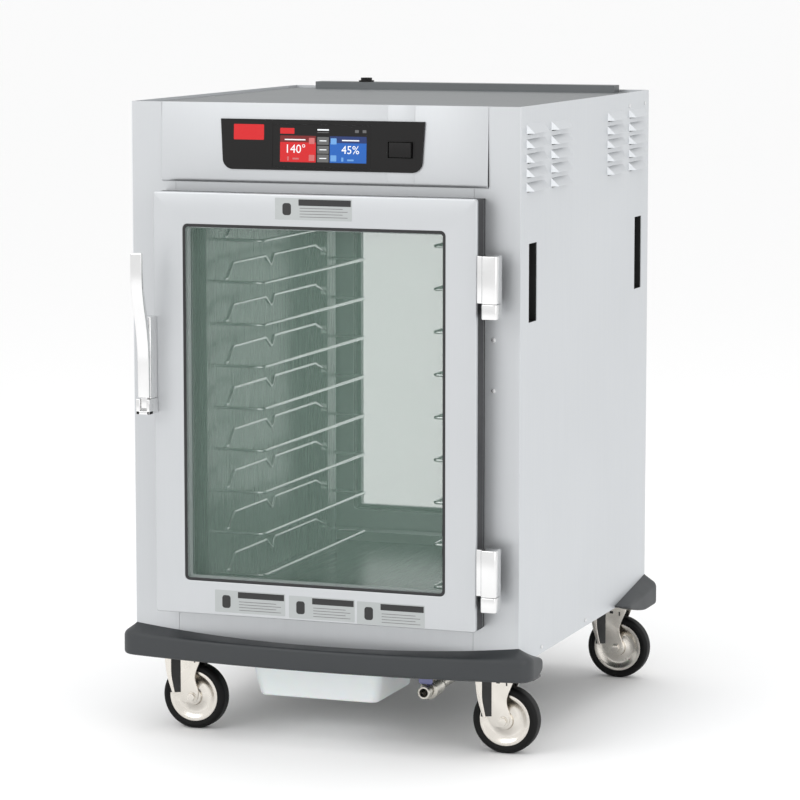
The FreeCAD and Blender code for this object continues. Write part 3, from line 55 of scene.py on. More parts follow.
# %% [markdown]
# ## Materials
#
# Sheet steel is not one flat grey. Brushing leaves fine lines along one direction that show as small
# changes of roughness, and handling leaves faint cloudy patches of colour. Each finish below
# is a short node chain on Object coordinates, so a pattern keeps its scale in millimetres.


# %% Node helpers
def new_material(name, color, roughness, metallic=0.0, **sockets):
    """A Principled material. Plain values are set on the shader's own sockets."""
    material = bpy.data.materials.new(name)
    material.use_nodes = True
    shader = material.node_tree.nodes["Principled BSDF"]
    shader.inputs["Base Color"].default_value = (*color, 1)
    shader.inputs["Roughness"].default_value = roughness
    shader.inputs["Metallic"].default_value = metallic
    for socket, value in sockets.items():
        shader.inputs[socket.replace("_", " ")].default_value = value
    return material


def shader_of(material):
    return material.node_tree.nodes["Principled BSDF"]


def add(material, kind, **inputs):
    """Adds a node and sets its inputs or properties by name."""
    made = material.node_tree.nodes.new(kind)
    for key, value in inputs.items():
        if hasattr(made, key):
            setattr(made, key, value)
        else:
            made.inputs[key.replace("_", " ")].default_value = value
    return made


def link(material, source, target):
    material.node_tree.links.new(source, target)


def stretched(material, scale):
    """Object coordinates scaled by (x, y, z) in repeats per metre."""
    where = add(material, "ShaderNodeTexCoord")
    mapping = add(material, "ShaderNodeMapping")
    mapping.inputs["Scale"].default_value = scale
    link(material, where.outputs["Object"], mapping.inputs["Vector"])
    return mapping.outputs["Vector"]


def noise(material, scale, detail=3.0):
    """Noise whose cells are stretched by scale, repeats per metre along x, y and z."""
    texture = add(material, "ShaderNodeTexNoise", Scale=1.0, Detail=detail)
    link(material, stretched(material, scale), texture.inputs["Vector"])
    return texture.outputs["Fac"]


# Noise keeps mostly to this span, and the mix node's colour sockets are found by number.
NOISE_LOW, NOISE_HIGH = 0.3, 0.7
MIX_FACTOR, MIX_A, MIX_B, MIX_RESULT = 0, 6, 7, 2


def spread(material, factor, low, high):
    """Maps the span that noise keeps to on to low..high."""
    span = add(material, "ShaderNodeMapRange")
    link(material, factor, span.inputs["Value"])
    span.inputs["From Min"].default_value = NOISE_LOW
    span.inputs["From Max"].default_value = NOISE_HIGH
    span.inputs["To Min"].default_value = low
    span.inputs["To Max"].default_value = high
    return span.outputs["Result"]


def tint(material, factor, dark, light):
    """Mixes two colours by a factor."""
    mix = add(material, "ShaderNodeMix", data_type="RGBA")
    link(material, factor, mix.inputs[MIX_FACTOR])
    mix.inputs[MIX_A].default_value = (*dark, 1)
    mix.inputs[MIX_B].default_value = (*light, 1)
    return mix.outputs[MIX_RESULT]


def bump(material, height, strength, distance):
    made = add(material, "ShaderNodeBump", Strength=strength, Distance=distance)
    link(material, height, made.inputs["Height"])
    link(material, made.outputs["Normal"], shader_of(material).inputs["Normal"])


def drive(material, socket, source):
    link(material, source, shader_of(material).inputs[socket])


# %% Brushed sheet and plated metal
def brushed(name, dark, light, rough, grain, patch=(3, 3, 3), metallic=1.0, groove=0.12):
    """Sheet metal: fine lines, where grain is large across and small along, that change the roughness
    and the bump, and slow patches that change the colour."""
    material = new_material(name, light, rough[0], metallic)
    lines = noise(material, grain, 2.0)
    clouds = noise(material, patch, 4.0)
    drive(material, "Base Color", tint(material, clouds, dark, light))
    drive(material, "Roughness", spread(material, lines, *rough))
    bump(material, lines, groove, 0.0002)
    return material


ACROSS_X = (6, 900, 900)
ACROSS_Y = (900, 6, 900)
ACROSS_Z = (900, 900, 6)
body_sheet = brushed("body_sheet", (0.52, 0.535, 0.55), (0.57, 0.585, 0.60), (0.36, 0.46), ACROSS_Z,
                     metallic=0.75)
# Painted light: the side sheet is the body's brushed steel painted a little lighter, standing for the
# brighter light on the side faces.
side_sheet_painted_light = brushed("side_sheet_painted_light", (0.58, 0.60, 0.62), (0.63, 0.65, 0.67), (0.38, 0.48), ACROSS_Z,
                     metallic=0.7)
top_sheet = brushed("top_sheet", (0.13, 0.14, 0.145), (0.17, 0.18, 0.185), (0.45, 0.55), ACROSS_X,
                    metallic=0.5)
# Painted shade: the liner, floor and upright sheets are painted far darker than the body sheet, standing for
# the shade inside the closed cabinet.
liner_sheet_painted_shade = brushed("liner_sheet_painted_shade", (0.13, 0.15, 0.142), (0.21, 0.235, 0.222), (0.22, 0.34), ACROSS_Z)
floor_sheet = brushed("floor_sheet", (0.06, 0.07, 0.067), (0.11, 0.125, 0.12), (0.18, 0.30), ACROSS_Y)
upright_sheet = brushed("upright_sheet", (0.12, 0.135, 0.13), (0.20, 0.22, 0.21), (0.2, 0.32), ACROSS_Z)
wire_plate = brushed("wire_plate", (0.66, 0.68, 0.67), (0.82, 0.84, 0.83), (0.14, 0.24), (60, 60, 60))
polished = brushed("polished", (0.72, 0.72, 0.72), (0.86, 0.86, 0.86), (0.12, 0.2), (40, 40, 40),
                   groove=0.04)
zinc_plate = brushed("zinc_plate", (0.62, 0.59, 0.54), (0.84, 0.80, 0.74), (0.16, 0.32), (30, 30, 30),
                     patch=(18, 18, 18), groove=0.06)
valve_plate = brushed("valve_plate", (0.40, 0.38, 0.34), (0.72, 0.70, 0.64), (0.15, 0.35), (80, 80, 80),
                      patch=(60, 60, 60))
# Near-black steel: painted shade for the caster legs' shadowed web and slots.
painted_shade_steel = brushed("painted_shade_steel", (0.03, 0.03, 0.03), (0.06, 0.06, 0.06), (0.4, 0.55), (60, 60, 60),
                      groove=0.05)
heater_plate = brushed("heater_plate", (0.20, 0.15, 0.12), (0.45, 0.38, 0.32), (0.3, 0.5), (40, 40, 40),
                       patch=(20, 20, 20))


# %% Moulded and rubber finishes
def grained(name, dark, light, rough, size=900.0, depth=0.15, **sockets):
    """Moulded plastic or rubber: a fine pebble from noise cells of about 1/size metres."""
    material = new_material(name, light, rough[0], **sockets)
    pebble = noise(material, (size, size, size), 2.0)
    clouds = noise(material, (9, 9, 9), 3.0)
    drive(material, "Base Color", tint(material, clouds, dark, light))
    drive(material, "Roughness", spread(material, clouds, *rough))
    bump(material, pebble, depth, 0.0003)
    return material


bumper_grain = grained("bumper_grain", (0.026, 0.029, 0.032), (0.034, 0.038, 0.041), (0.45, 0.58))
seal_grain = grained("seal_grain", (0.012, 0.012, 0.013), (0.02, 0.02, 0.021), (0.55, 0.7))
core_grain = grained("core_grain", (0.020, 0.020, 0.022), (0.032, 0.032, 0.034), (0.45, 0.6))
trim_black = grained("trim_black", (0.004, 0.004, 0.004), (0.008, 0.007, 0.007), (0.45, 0.55), 1500, 0.05,
                     Specular_IOR_Level=0.25)
cup_black = grained("cup_black", (0.004, 0.004, 0.004), (0.008, 0.008, 0.008), (0.5, 0.65))
tyre_rubber = grained("tyre_rubber", (0.002, 0.002, 0.002), (0.005, 0.005, 0.005), (0.45, 0.6), 1200, 0.08,
                      Specular_IOR_Level=0.2)
pan_plastic = grained("pan_plastic", (0.88, 0.90, 0.91), (0.95, 0.96, 0.96), (0.28, 0.4), 700, 0.04,
                      Subsurface_Weight=0.25, Subsurface_Scale=0.006)
lever_vinyl = grained("lever_vinyl", (0.16, 0.17, 0.34), (0.24, 0.25, 0.45), (0.3, 0.45), 1500, 0.05)
board_green = grained("board_green", (0.01, 0.10, 0.04), (0.02, 0.16, 0.07), (0.3, 0.5), 300, 0.1)
motor_paint = grained("motor_paint", (0.02, 0.02, 0.022), (0.035, 0.035, 0.038), (0.3, 0.45), 1200, 0.06)
batt_fibre = grained("batt_fibre", (0.50, 0.42, 0.14), (0.68, 0.60, 0.25), (0.9, 1.0), 150, 0.8)
tile_grey = grained("tile_grey", (0.30, 0.31, 0.32), (0.38, 0.39, 0.40), (0.4, 0.5), 1500, 0.03)


# The panes: mostly see-through, with a faint green cast and a mirror-smooth face.
glass = new_material("tempered_glass", (0.30, 0.44, 0.37), 0.02, Alpha=0.09, Specular_IOR_Level=0.5)
print("materials:", len(bpy.data.materials))

# %% [markdown]
# ## Surfaces
#
# Nearly every part of a cabinet is pressed, moulded or turned, so it is an outline carried
# along a direction, or a profile turned about an axis. Each is a grid of points: rows follow
# the profile and columns follow the outline. Working a grid out as one array keeps the
# formula in sight, and the mesh is then quads between neighbours with a cap at each end.


# %% Grids
def quads(rows, columns, wrap_rows=False):
    """Quads between neighbours of a grid whose columns close on themselves."""
    r, c = np.meshgrid(np.arange(rows if wrap_rows else rows - 1), np.arange(columns), indexing="ij")
    below, beside = (r + 1) % rows, (c + 1) % columns
    return np.stack([r * columns + c, r * columns + beside, below * columns + beside,
                     below * columns + c], -1).reshape(-1, 4).tolist()


def capped(rings):
    """Points and faces of stacked closed rings (rows, columns, 3), with a cap on each end."""
    rows, columns = rings.shape[:2]
    faces = quads(rows, columns)
    faces.append(list(range(columns))[::-1])
    faces.append(list(range((rows - 1) * columns, rows * columns)))
    return rings.reshape(-1, 3), faces


def looped(rings):
    """Points and faces of rings whose last row joins the first: a tube bent into a loop."""
    rows, columns = rings.shape[:2]
    return rings.reshape(-1, 3), quads(rows, columns, wrap_rows=True)


def facing(points, depth, axis):
    """Puts a flat outline (a, b) at a depth. Along z the outline is (x, y), along x it is (y, z),
    and along y it is (x, z) with depth counted towards the front, -Y."""
    a, b = points[..., 0], points[..., 1]
    d = np.broadcast_to(depth, a.shape)
    return np.stack({"z": (a, b, d), "x": (d, a, b), "y": (a, -d, b)}[axis], -1)


def outward(outline):
    """Unit normals of an anticlockwise outline: its direction turned a quarter turn clockwise."""
    along = np.roll(outline, -1, 0) - np.roll(outline, 1, 0)
    along = along / np.linalg.norm(along, axis=1, keepdims=True)
    return np.stack([along[:, 1], -along[:, 0]], 1)


def rounded_polygon(corners, radii, steps=6):
    """Anticlockwise polygon with each corner swapped for a quadratic arc: the corner pulls the
    line between the two points that lie one radius away on its sides."""
    corners = np.array(corners, float)
    radii = np.broadcast_to(np.array(radii, float), (len(corners),))[:, None]
    back, ahead = np.roll(corners, 1, 0) - corners, np.roll(corners, -1, 0) - corners
    start = corners + back / np.linalg.norm(back, axis=1, keepdims=True) * radii
    end = corners + ahead / np.linalg.norm(ahead, axis=1, keepdims=True) * radii
    t = np.linspace(0, 1, steps)[:, None, None]
    arcs = (1 - t) ** 2 * start + 2 * t * (1 - t) * corners + t ** 2 * end
    return arcs.transpose(1, 0, 2).reshape(-1, 2)


def rectangle(x, y, radius, steps=8):
    """Rectangle over x = (low, high) and y = (low, high) with true quarter-circle corners."""
    angle = np.linspace(0, math.pi / 2, steps)[None, :] + np.arange(4)[:, None] * math.pi / 2
    middle = np.array([(x[1], y[1]), (x[0], y[1]), (x[0], y[0]), (x[1], y[0])], float)
    inward = np.array([(-1, -1), (1, -1), (1, 1), (-1, 1)]) * radius
    circle = np.stack([np.cos(angle), np.sin(angle)], -1) * radius
    return (middle[:, None] + inward[:, None] + circle).reshape(-1, 2)


def slab(outline, axis, low, high, edge=1.0, steps=4):
    """An outline carried from low to high whose two rims are rolled: over the last edge of the
    way the outline shrinks along its normals as a quarter circle does."""
    outline = np.array(outline, float)
    normals = outward(outline)
    turn = np.linspace(0, math.pi / 2, steps)
    inset = edge * (1 - np.sin(turn))
    depth = edge * (1 - np.cos(turn))
    insets = np.concatenate([inset, inset[::-1]])
    depths = np.concatenate([low + depth, high - depth[::-1]])
    flat = outline[None] - normals[None] * insets[:, None, None]
    return capped(facing(flat, depths[:, None], axis))


def block(x, y, z, radius=2.0, edge=1.0, axis="z"):
    """A rounded box over three spans, its round corners running along an axis."""
    if axis == "z":
        return slab(rectangle(x, y, radius), "z", *z, edge)
    if axis == "x":
        return slab(rectangle(y, z, radius), "x", *x, edge)
    return slab(rectangle(x, z, radius), "y", -y[1], -y[0], edge)


def lathe(profile, centre, axis, turns=48, loop=False):
    """A profile of (radius, height) points turned about an axis through the centre."""
    profile = np.array(profile, float)
    angle = np.linspace(0, 2 * math.pi, turns, endpoint=False)
    circle = np.stack([np.cos(angle), np.sin(angle)], -1)
    flat = profile[:, 0, None, None] * circle[None]
    rings = facing(flat, profile[:, 1, None], axis) + np.array(centre, float)
    return looped(rings) if loop else capped(rings)


def pipe(path, radius, columns=16, axis_hint=(1, 0, 0)):
    """A round bar along a path: at each point a circle stands square to the path's direction."""
    path = np.array(path, float)
    along = np.gradient(path, axis=0)
    along = along / np.linalg.norm(along, axis=1, keepdims=True)
    across = np.array(axis_hint, float) - along * (along @ np.array(axis_hint, float))[:, None]
    across = across / np.linalg.norm(across, axis=1, keepdims=True)
    other = np.cross(along, across)
    angle = np.linspace(0, 2 * math.pi, columns, endpoint=False)
    radius = np.broadcast_to(np.array(radius, float), (len(path),))[:, None, None]
    spokes = np.cos(angle)[None, :, None] * across[:, None] + np.sin(angle)[None, :, None] * other[:, None]
    return capped(path[:, None] + spokes * radius)


def moved(chunk, by=(0, 0, 0)):
    return chunk[0] + np.array(by, float), *chunk[1:]


def half_turn(chunk):
    """The same chunk turned half round the upright axis, for the far end of the cabinet."""
    return chunk[0] * np.array([-1, -1, 1]), *chunk[1:]


# %% Pieces
def turned_out(chunk):
    """The chunk with its faces outward: six times the volume enclosed is the sum, over fans of
    triangles, of a . (b x c), and it is negative when the faces look inward."""
    points, faces = chunk[0], chunk[1]
    fans = np.array([(face[0], face[i], face[i + 1]) for face in faces for i in range(1, len(face) - 1)])
    a, b, c = (points[fans[:, i]] for i in range(3))
    if np.einsum("ij,ij->", a, np.cross(b, c)) < 0:
        return points, [face[::-1] for face in faces], *chunk[2:]
    return chunk


def piece(name, body, material, chunks, stands_for=(), sharp=38):
    """One object from chunks of (points, faces) in millimetres; chunks may name a second
    material by adding its index. It rides on a body and may stand for CAD nodes."""
    materials = material if isinstance(material, (list, tuple)) else [material]
    points, faces, chosen, count = [], [], [], 0
    for chunk in map(turned_out, chunks):
        points.append(chunk[0] * MM)
        faces.extend([[index + count for index in face] for face in chunk[1]])
        chosen.extend([chunk[2] if len(chunk) > 2 else 0] * len(chunk[1]))
        count += len(chunk[0])
    mesh = bpy.data.meshes.new(name)
    mesh.from_pydata(np.concatenate(points), [], faces)
    for entry in materials:
        mesh.materials.append(entry)
    mesh.polygons.foreach_set("material_index", chosen)
    mesh.polygons.foreach_set("use_smooth", [True] * len(faces))
    mesh.set_sharp_from_angle(angle=math.radians(sharp))
    mesh.update()
    made = bpy.data.objects.new(name, mesh)
    bpy.context.scene.collection.objects.link(made)
    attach(made, body)
    if stands_for:
        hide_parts(*stands_for)
    return made


def at_both_ends(name, part, material, chunks, stands_for=None, sharp=38):
    """A piece of the front door or handle, and its half-turned twin at the rear."""
    for end, place in (("front", lambda chunk: chunk), ("rear", half_turn)):
        replaced = [f"{end}_door_{stands_for}"] if stands_for else []
        piece(f"{end}_{name}", f"{end}_{part}", material, [place(chunk) for chunk in chunks],
              replaced, sharp)


def finish_node(material, *names):
    """Gives carried-over CAD nodes their finish."""
    for name in names:
        nodes[name].data.materials.clear()
        nodes[name].data.materials.append(material)


def low_high(name):
    """A node's box in millimetres as ((x, x), (y, y), (z, z))."""
    low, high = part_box(name)
    return [(low[i] / MM, high[i] / MM) for i in range(3)]


# %% [markdown]
# ## The doors
#
# Each door is a shallow pressed pan around a window, over a dark thermal-break core. The pan's
# outer edge and the window's edge are rolled, and that soft line is what the eye reads as sheet
# metal. The section is carried round: each row of the grid is one rounded rectangle, and its
# inset and depth come from the section.

# %% Door pans
(door_x, door_y, door_z) = low_high("front_door_frame")
door_front, door_rear = -door_y[0], -door_y[1]
glass_x, _, glass_z = low_high("front_door_glass")
GLASS_LAP = 14.0
window_x = (glass_x[0] + GLASS_LAP, glass_x[1] - GLASS_LAP)
window_z = (glass_z[0] + GLASS_LAP, glass_z[1] - GLASS_LAP)
PAN_DEEP, SPACER_DEEP = 8, 20
outer_edge = rectangle(door_x, door_z, 5)


def window_ring(inset, radius):
    """The window's outline moved inwards, with round corners."""
    return rectangle((window_x[0] + inset, window_x[1] - inset),
                     (window_z[0] + inset, window_z[1] - inset), radius)


window_edge = window_ring(0, 9)


def door_section(outer, inner, section):
    """Rows of a ring: each section entry is (which outline, inset, depth); the outline is moved
    inwards along its normals by the inset."""
    outlines = [(outer, outward(outer)), (inner, outward(inner))]
    rings = [facing(outlines[which][0] - outlines[which][1] * inset, depth, "y")
             for which, inset, depth in section]
    return looped(np.array(rings))


def roll(which, sign, radius, steps=5):
    """Quarter circle from a door's edge on to its face: inset and depth follow sine and cosine."""
    turn = np.linspace(0, math.pi / 2, steps)
    return [(which, sign * radius * (1 - math.cos(t)), door_front - radius * (1 - math.sin(t)))
            for t in turn]


SHEET = 1.45
pan_back, spacer_back = door_front - PAN_DEEP, door_front - SPACER_DEEP
pan_section = ([(0, 0, pan_back)] + roll(0, 1, 2.6) + roll(1, -1, 1.4)[::-1]
               + [(1, 0, door_front - SHEET), (0, SHEET, door_front - SHEET), (0, SHEET, pan_back)])
back_section = [(0, 1.5, door_rear + 1.4), (1, 0, door_rear + 1.4), (1, 0, door_rear + 0.5),
                (1, -0.5, door_rear), (0, 2.5, door_rear), (0, 1.5, door_rear + 0.6)]
at_both_ends("door_pan", "door", body_sheet,
             [door_section(outer_edge, window_edge, pan_section),
              door_section(outer_edge, window_edge, back_section)], "frame")
window_seal = door_section(window_edge, window_ring(5, 5),
                           [(0, -0.1, door_front - 1.4), (0, 0.1, door_front - 0.7),
                            (0, 1.2, door_front - 0.4), (1, -1.2, door_front - 0.8),
                            (1, 0, door_front - 1.4)])
spacer = door_section(window_ring(0.5, 8), window_ring(7, 4),
                      [(0, 0, pan_back), (1, 0, pan_back), (1, 0, spacer_back), (0, 0, spacer_back)])
at_both_ends("window_seal", "door", [seal_grain, tile_grey], [window_seal, (*spacer, 1)])
finish_node(core_grain, "front_door_core", "rear_door_core")
finish_node(glass, "front_door_glass", "rear_door_glass")
finish_node(seal_grain, "front_door_gasket", "rear_door_gasket")

# %% [markdown]
# ## Hinges and handles
#
# The hinge is a cast knuckle with softly rounded corners over a foot that is fixed to the post.
# The handle is one flat bar bent twice, so it is a closed outline seen from the side, carried
# across the bar's width with its rims rolled. Polished plate shows these shapes by reflection,
# so the rims matter more here than on the sheet.

# %% Hinges
hardware = low_high("front_door_hardware")
HINGE_DROP, KNUCKLE, FOOT = 507.0, 82.0, 26.0
HINGE_WIDE, HINGE_DEEP, HINGE_OFFSET = 28.0, 33.0, 26.0
HINGE_CORNER, HINGE_EDGE, PIN_RADIUS = 4.5, 1.4, 5
POST_FACE = -392.5
pivot_x = door_x[1] + HINGE_OFFSET
pivot_y = -door_front + 4
hinge_top = hardware[2][1]
knuckle_x = (pivot_x - HINGE_WIDE / 2, pivot_x + HINGE_WIDE / 2)
knuckle_y = (pivot_y - HINGE_DEEP / 2, pivot_y + HINGE_DEEP / 2)


def knuckle(level):
    """Door half: rounded cast block and its leaf, with a blind bore for the pin left to the CAD."""
    return [block(knuckle_x, knuckle_y, (level - KNUCKLE, level), HINGE_CORNER, HINGE_EDGE),
            block((door_x[1], knuckle_x[0] + 3), (-door_front + 1, -door_front + 7),
                  (level - KNUCKLE, level - 1), 1.5, 0.6)]


def hinge_foot(level):
    """Fixed half: the same block below a thin joint line, its bracket and the pin."""
    high = level - KNUCKLE - 0.5
    return [block(knuckle_x, knuckle_y, (high - FOOT, high), HINGE_CORNER, HINGE_EDGE),
            block((knuckle_x[0], knuckle_x[0] + 12), (pivot_y + 8, POST_FACE),
                  (high - FOOT + 1, high - 1), 1.0, 0.5),
            lathe([(PIN_RADIUS, high - 4), (PIN_RADIUS, high + 0.4)], (pivot_x, pivot_y, 0), "z", 24)]


# %% Handle
HOUSING_X = (door_x[0] - 15, door_x[0] + 7)
HOUSING_FRONT, HANDLE_LOW, HOUSING_HIGH = -474.5, 590.0, 762.0
BLOCK_HIGH, PIN_Y, PIN_Z = 617.0, -477.5, 606.0
CHEEK_FRONT, CHEEK_WALL = -484.5, 4.7
fork_x = (HOUSING_X[0] + CHEEK_WALL, HOUSING_X[1] - CHEEK_WALL)
block_x = (HOUSING_X[0] - 3, HOUSING_X[1] + 1)
cheek_y = (CHEEK_FRONT, HOUSING_FRONT + 6)
housing = [
    block(HOUSING_X, (HOUSING_FRONT, -door_front), (HANDLE_LOW + 27, HOUSING_HIGH), 3, 1.2),
    block(block_x, (HOUSING_FRONT + 5, -door_front), (HANDLE_LOW, BLOCK_HIGH), 3, 1.2),
    block((block_x[0], fork_x[0]), cheek_y, (HANDLE_LOW, BLOCK_HIGH), 1.5, 0.8),
    block((fork_x[1], block_x[1]), cheek_y, (HANDLE_LOW, BLOCK_HIGH), 1.5, 0.8),
    block(block_x, cheek_y, (HANDLE_LOW, PIN_Z - 10), 1.5, 0.8),
    block((HOUSING_X[0], door_x[0] - 0.1), (-door_front - 1, -399), (620, 742), 1.5, 0.8),
    lathe([(2.5, HOUSING_X[0] - 3.3), (2.5, HOUSING_X[1] + 1.3)], (0, PIN_Y, PIN_Z), "x", 20),
]
at_both_ends("door_hardware_set", "door", polished,
             knuckle(hinge_top) + knuckle(hinge_top - HINGE_DROP) + housing, "hardware")


def bent_bar():
    """Side outline of the grip: two nearly parallel lines whose bends are rounded, anticlockwise
    in the (y, z) plane: down the outer side, then up the inner one."""
    corners = [(-511, 878), (-511, 812), (-484.5, 722), (-483, 619.5), (-475.2, 619.5),
               (-475.2, 733), (-503.6, 818), (-503.6, 878)]
    return rounded_polygon(corners, [3.4, 34, 40, 2, 2, 34, 40, 3.4], 10)


lever = [slab(bent_bar(), "x", HOUSING_X[0], HOUSING_X[1], 2.2, 5),
         block((fork_x[0] + 0.3, fork_x[1] - 0.3), (PIN_Y - 3.5, PIN_Y + 3.5), (601, 622), 1.5, 0.5)]
at_both_ends("grip", "handle", polished, lever, "lever")
fixed = hinge_foot(hinge_top) + hinge_foot(hinge_top - HINGE_DROP) + [
    block((HOUSING_X[0] - 6, HOUSING_X[0] + 12), (POST_FACE - 4, POST_FACE), (610, 752), 3, 1, "y")]
piece("hinge_feet", "cabinet", polished,
      fixed + [half_turn(chunk) for chunk in fixed], ["hinge_feet_and_strikes"])
print("hinges, housings and grips done")

# %% [markdown]
# ## Header, screen and switch
#
# The header leans out towards its lower edge and rolls under. Everything on it is drawn flat
# first and then leaned: each point moves forward by the header's reach at its own height.

# %% Header
HEADER_TOP, HEADER_LOW, HEADER_HALF = 1137.0, 997.0, 304.5
FACE_Y, LEAN = 392.5, 5.5
HEADER_ROLL, COVER, TOP_HEM, FOOT_HEM, FLAT_EDGE = 7, 1.5, 4, 22, 0.3
WELL_X, WELL_Z = (121.0, 171.0), (1044.0, 1076.0)


def reach(z):
    """Distance of the header's face in front of the middle, at a height."""
    return FACE_Y + LEAN * (HEADER_TOP - z) / (HEADER_TOP - HEADER_LOW - HEADER_ROLL)


def header_sheet(low, high):
    """Side outline of the pressed sheet between two heights, anticlockwise in (y, z)."""
    if high == HEADER_TOP:
        top = [(-FACE_Y + TOP_HEM, high), (-FACE_Y, high)]
        back = [(-FACE_Y + COVER, high - COVER), (-FACE_Y + TOP_HEM, high - COVER)]
    else:
        top, back = [(-reach(high), high)], [(-reach(high) + COVER, high)]
    if low == HEADER_LOW:
        bend = -reach(low + HEADER_ROLL)
        foot = [(bend, low), (-FACE_Y + FOOT_HEM, low), (-FACE_Y + FOOT_HEM, low + COVER),
                (bend + COVER, low + COVER)]
        radii = [HEADER_ROLL, FLAT_EDGE, FLAT_EDGE, HEADER_ROLL - COVER]
    else:
        foot = [(-reach(low), low), (-reach(low) + COVER, low)]
        radii = [0.2, 0.2]
    return rounded_polygon(top + foot + back,
                           [FLAT_EDGE] * len(top) + radii + [FLAT_EDGE] * len(back), 7)


whole = header_sheet(HEADER_LOW, HEADER_TOP)
front_header = [slab(whole, "x", -HEADER_HALF, WELL_X[0], 0.4),
                slab(whole, "x", WELL_X[1], HEADER_HALF, 0.4),
                slab(header_sheet(WELL_Z[1], HEADER_TOP), "x", *WELL_X, 0.1),
                slab(header_sheet(HEADER_LOW, WELL_Z[0]), "x", *WELL_X, 0.1)]
rear_header = [half_turn(slab(whole, "x", -HEADER_HALF, HEADER_HALF, 0.4))]
piece("header", "cabinet", body_sheet, front_header + rear_header, ["header_covers"])
print("header: 2 covers")


# %% Screen picture
def glowing(name, color, strength):
    """A lit patch of the screen, its glow mottled very slightly."""
    material = new_material(name, color, 0.25)
    drive(material, "Emission Color", tint(material, noise(material, (400, 400, 400)), color, color))
    shader_of(material).inputs["Emission Strength"].default_value = strength
    return material


screen_inks = [glowing(*ink) for ink in (
    ("ink_red", (0.52, 0.003, 0.006), 0.12), ("ink_blue", (0.003, 0.09, 0.38), 0.12),
    ("ink_tile", (0.10, 0.10, 0.10), 0.1), ("ink_white", (0.70, 0.72, 0.74), 0.25),
    ("ink_pink", (0.50, 0.12, 0.12), 0.1), ("ink_sky", (0.12, 0.30, 0.60), 0.1),
    ("ink_deep_red", (0.14, 0.003, 0.003), 0.1), ("ink_deep_blue", (0.003, 0.02, 0.11), 0.1))]
RED, BLUE, TILE, WHITE, PINK, SKY, DEEP_RED, DEEP_BLUE = range(8)
SCREEN_RISE = 2.7
ON_FIELD, ON_BAND = SCREEN_RISE + 0.08, SCREEN_RISE + 0.17
RED_X, BLUE_X, MIDDLE_X = (-77.5, -10.5), (15.5, 83.5), (-8, 13.5)


def leaned(chunk, ink):
    """Carries a chunk drawn in (x, z), with -y its rise, on to the header's leaning face."""
    points = chunk[0].copy()
    points[:, 1] -= reach(points[:, 2])
    return points, chunk[1], ink


def patch(x, z, ink, rise=SCREEN_RISE, thick=0.08, corner=0.8):
    """A thin rounded rectangle standing at a rise from the header's face."""
    return leaned(slab(rectangle(x, z, corner, 4), "y", rise, rise + thick, 0.02, 2), ink)


def lettering(text, x, z, size, ink, rise=ON_FIELD):
    """Figures from the built-in typeface, given a little thickness and stood upright."""
    curve = bpy.data.curves.new("figures", "FONT")
    curve.body = text
    curve.size = size
    curve.extrude = 0.03
    curve.resolution_u = 3
    source = bpy.data.objects.new("figures", curve)
    bpy.context.scene.collection.objects.link(source)
    mesh = bpy.data.meshes.new_from_object(source)
    points = np.array([vertex.co for vertex in mesh.vertices])
    faces = [list(polygon.vertices) for polygon in mesh.polygons]
    bpy.data.objects.remove(source)
    bpy.data.curves.remove(curve)
    bpy.data.meshes.remove(mesh)
    keys, same = np.unique(np.round(points, 4), axis=0, return_inverse=True)
    same = same.reshape(-1)
    faces = [[int(same[index]) for index in face] for face in faces]
    faces = [face for face in faces if len(set(face)) == len(face)]
    stood = np.stack([keys[:, 0] + x, -keys[:, 2] - rise - 0.03, keys[:, 1] + z], 1)
    return leaned((stood, faces), ink)


picture = [
    patch(RED_X, (1035.5, 1081), RED), patch(BLUE_X, (1035.5, 1081), BLUE),
    patch(RED_X, (1070, 1081.5), DEEP_RED, ON_FIELD), patch(BLUE_X, (1070, 1081.5), DEEP_BLUE, ON_FIELD),
    patch((RED_X[0], -51), (1084.5, 1094.5), RED),
    patch((-69, -30), (1073.5, 1075.5), WHITE, ON_BAND), patch((38, 70), (1073.5, 1075.5), WHITE, ON_BAND),
    patch(MIDDLE_X, (1091, 1093.5), WHITE), patch(MIDDLE_X, (1087, 1088.5), TILE),
    patch((62, 69), (1088, 1093), TILE), patch((76, 83), (1088, 1093), TILE),
    patch((-64, -61), (1038, 1045), PINK, ON_FIELD), patch((-54, -42), (1040, 1043), PINK, ON_FIELD),
    patch((37, 41), (1038, 1045), SKY, ON_FIELD), patch((48, 60), (1039, 1042), SKY, ON_FIELD),
    patch((-165, -108), (1073, 1100), RED, 3.0, 0.12, 1.5)]
for z in (1036, 1051, 1066.5):
    picture.append(patch(MIDDLE_X, (z, z + 13.5), TILE))
    picture.append(patch((-4, 9.5), (z + 6, z + 7.6), WHITE, ON_FIELD))
for z in (1038, 1067.5):
    picture.append(patch((-23.5, -13), (z, z + 10.5), PINK, ON_BAND))
    picture.append(patch((17, 28), (z, z + 10.5), SKY, ON_BAND))
picture += [lettering("140°", -69, 1051.5, 21, WHITE), lettering("45%", 37, 1051.5, 20, WHITE)]
piece("screen_picture", "cabinet", screen_inks, picture)
print("screen picture:", len(picture), "patches")

# %% Switch
cap_shape = rounded_polygon([(-21, -6.5), (0, -6), (21, -10.5), (21, 3), (0, 5), (-21, 1.5)],
                            [1.5, 5, 2, 1.5, 3, 1.5], 5)
SWITCH_AT, SWITCH_Z = (146.0, -394.0), (1047, 1073)
piece("switch_cap", "switch", trim_black,
      [slab(cap_shape + np.array(SWITCH_AT), "z", *SWITCH_Z, 1.0)], ["power_rocker"])
print("switch cap")

# %% [markdown]
# ## Bumpers
#
# A bumper is one moulded section carried round a bowed path. Its inner edge follows the
# cabinet, its outer edge follows the bow, and the top edge against the cabinet climbs towards
# the corners. Each station is a rounded four-sided section between its inner and outer point.

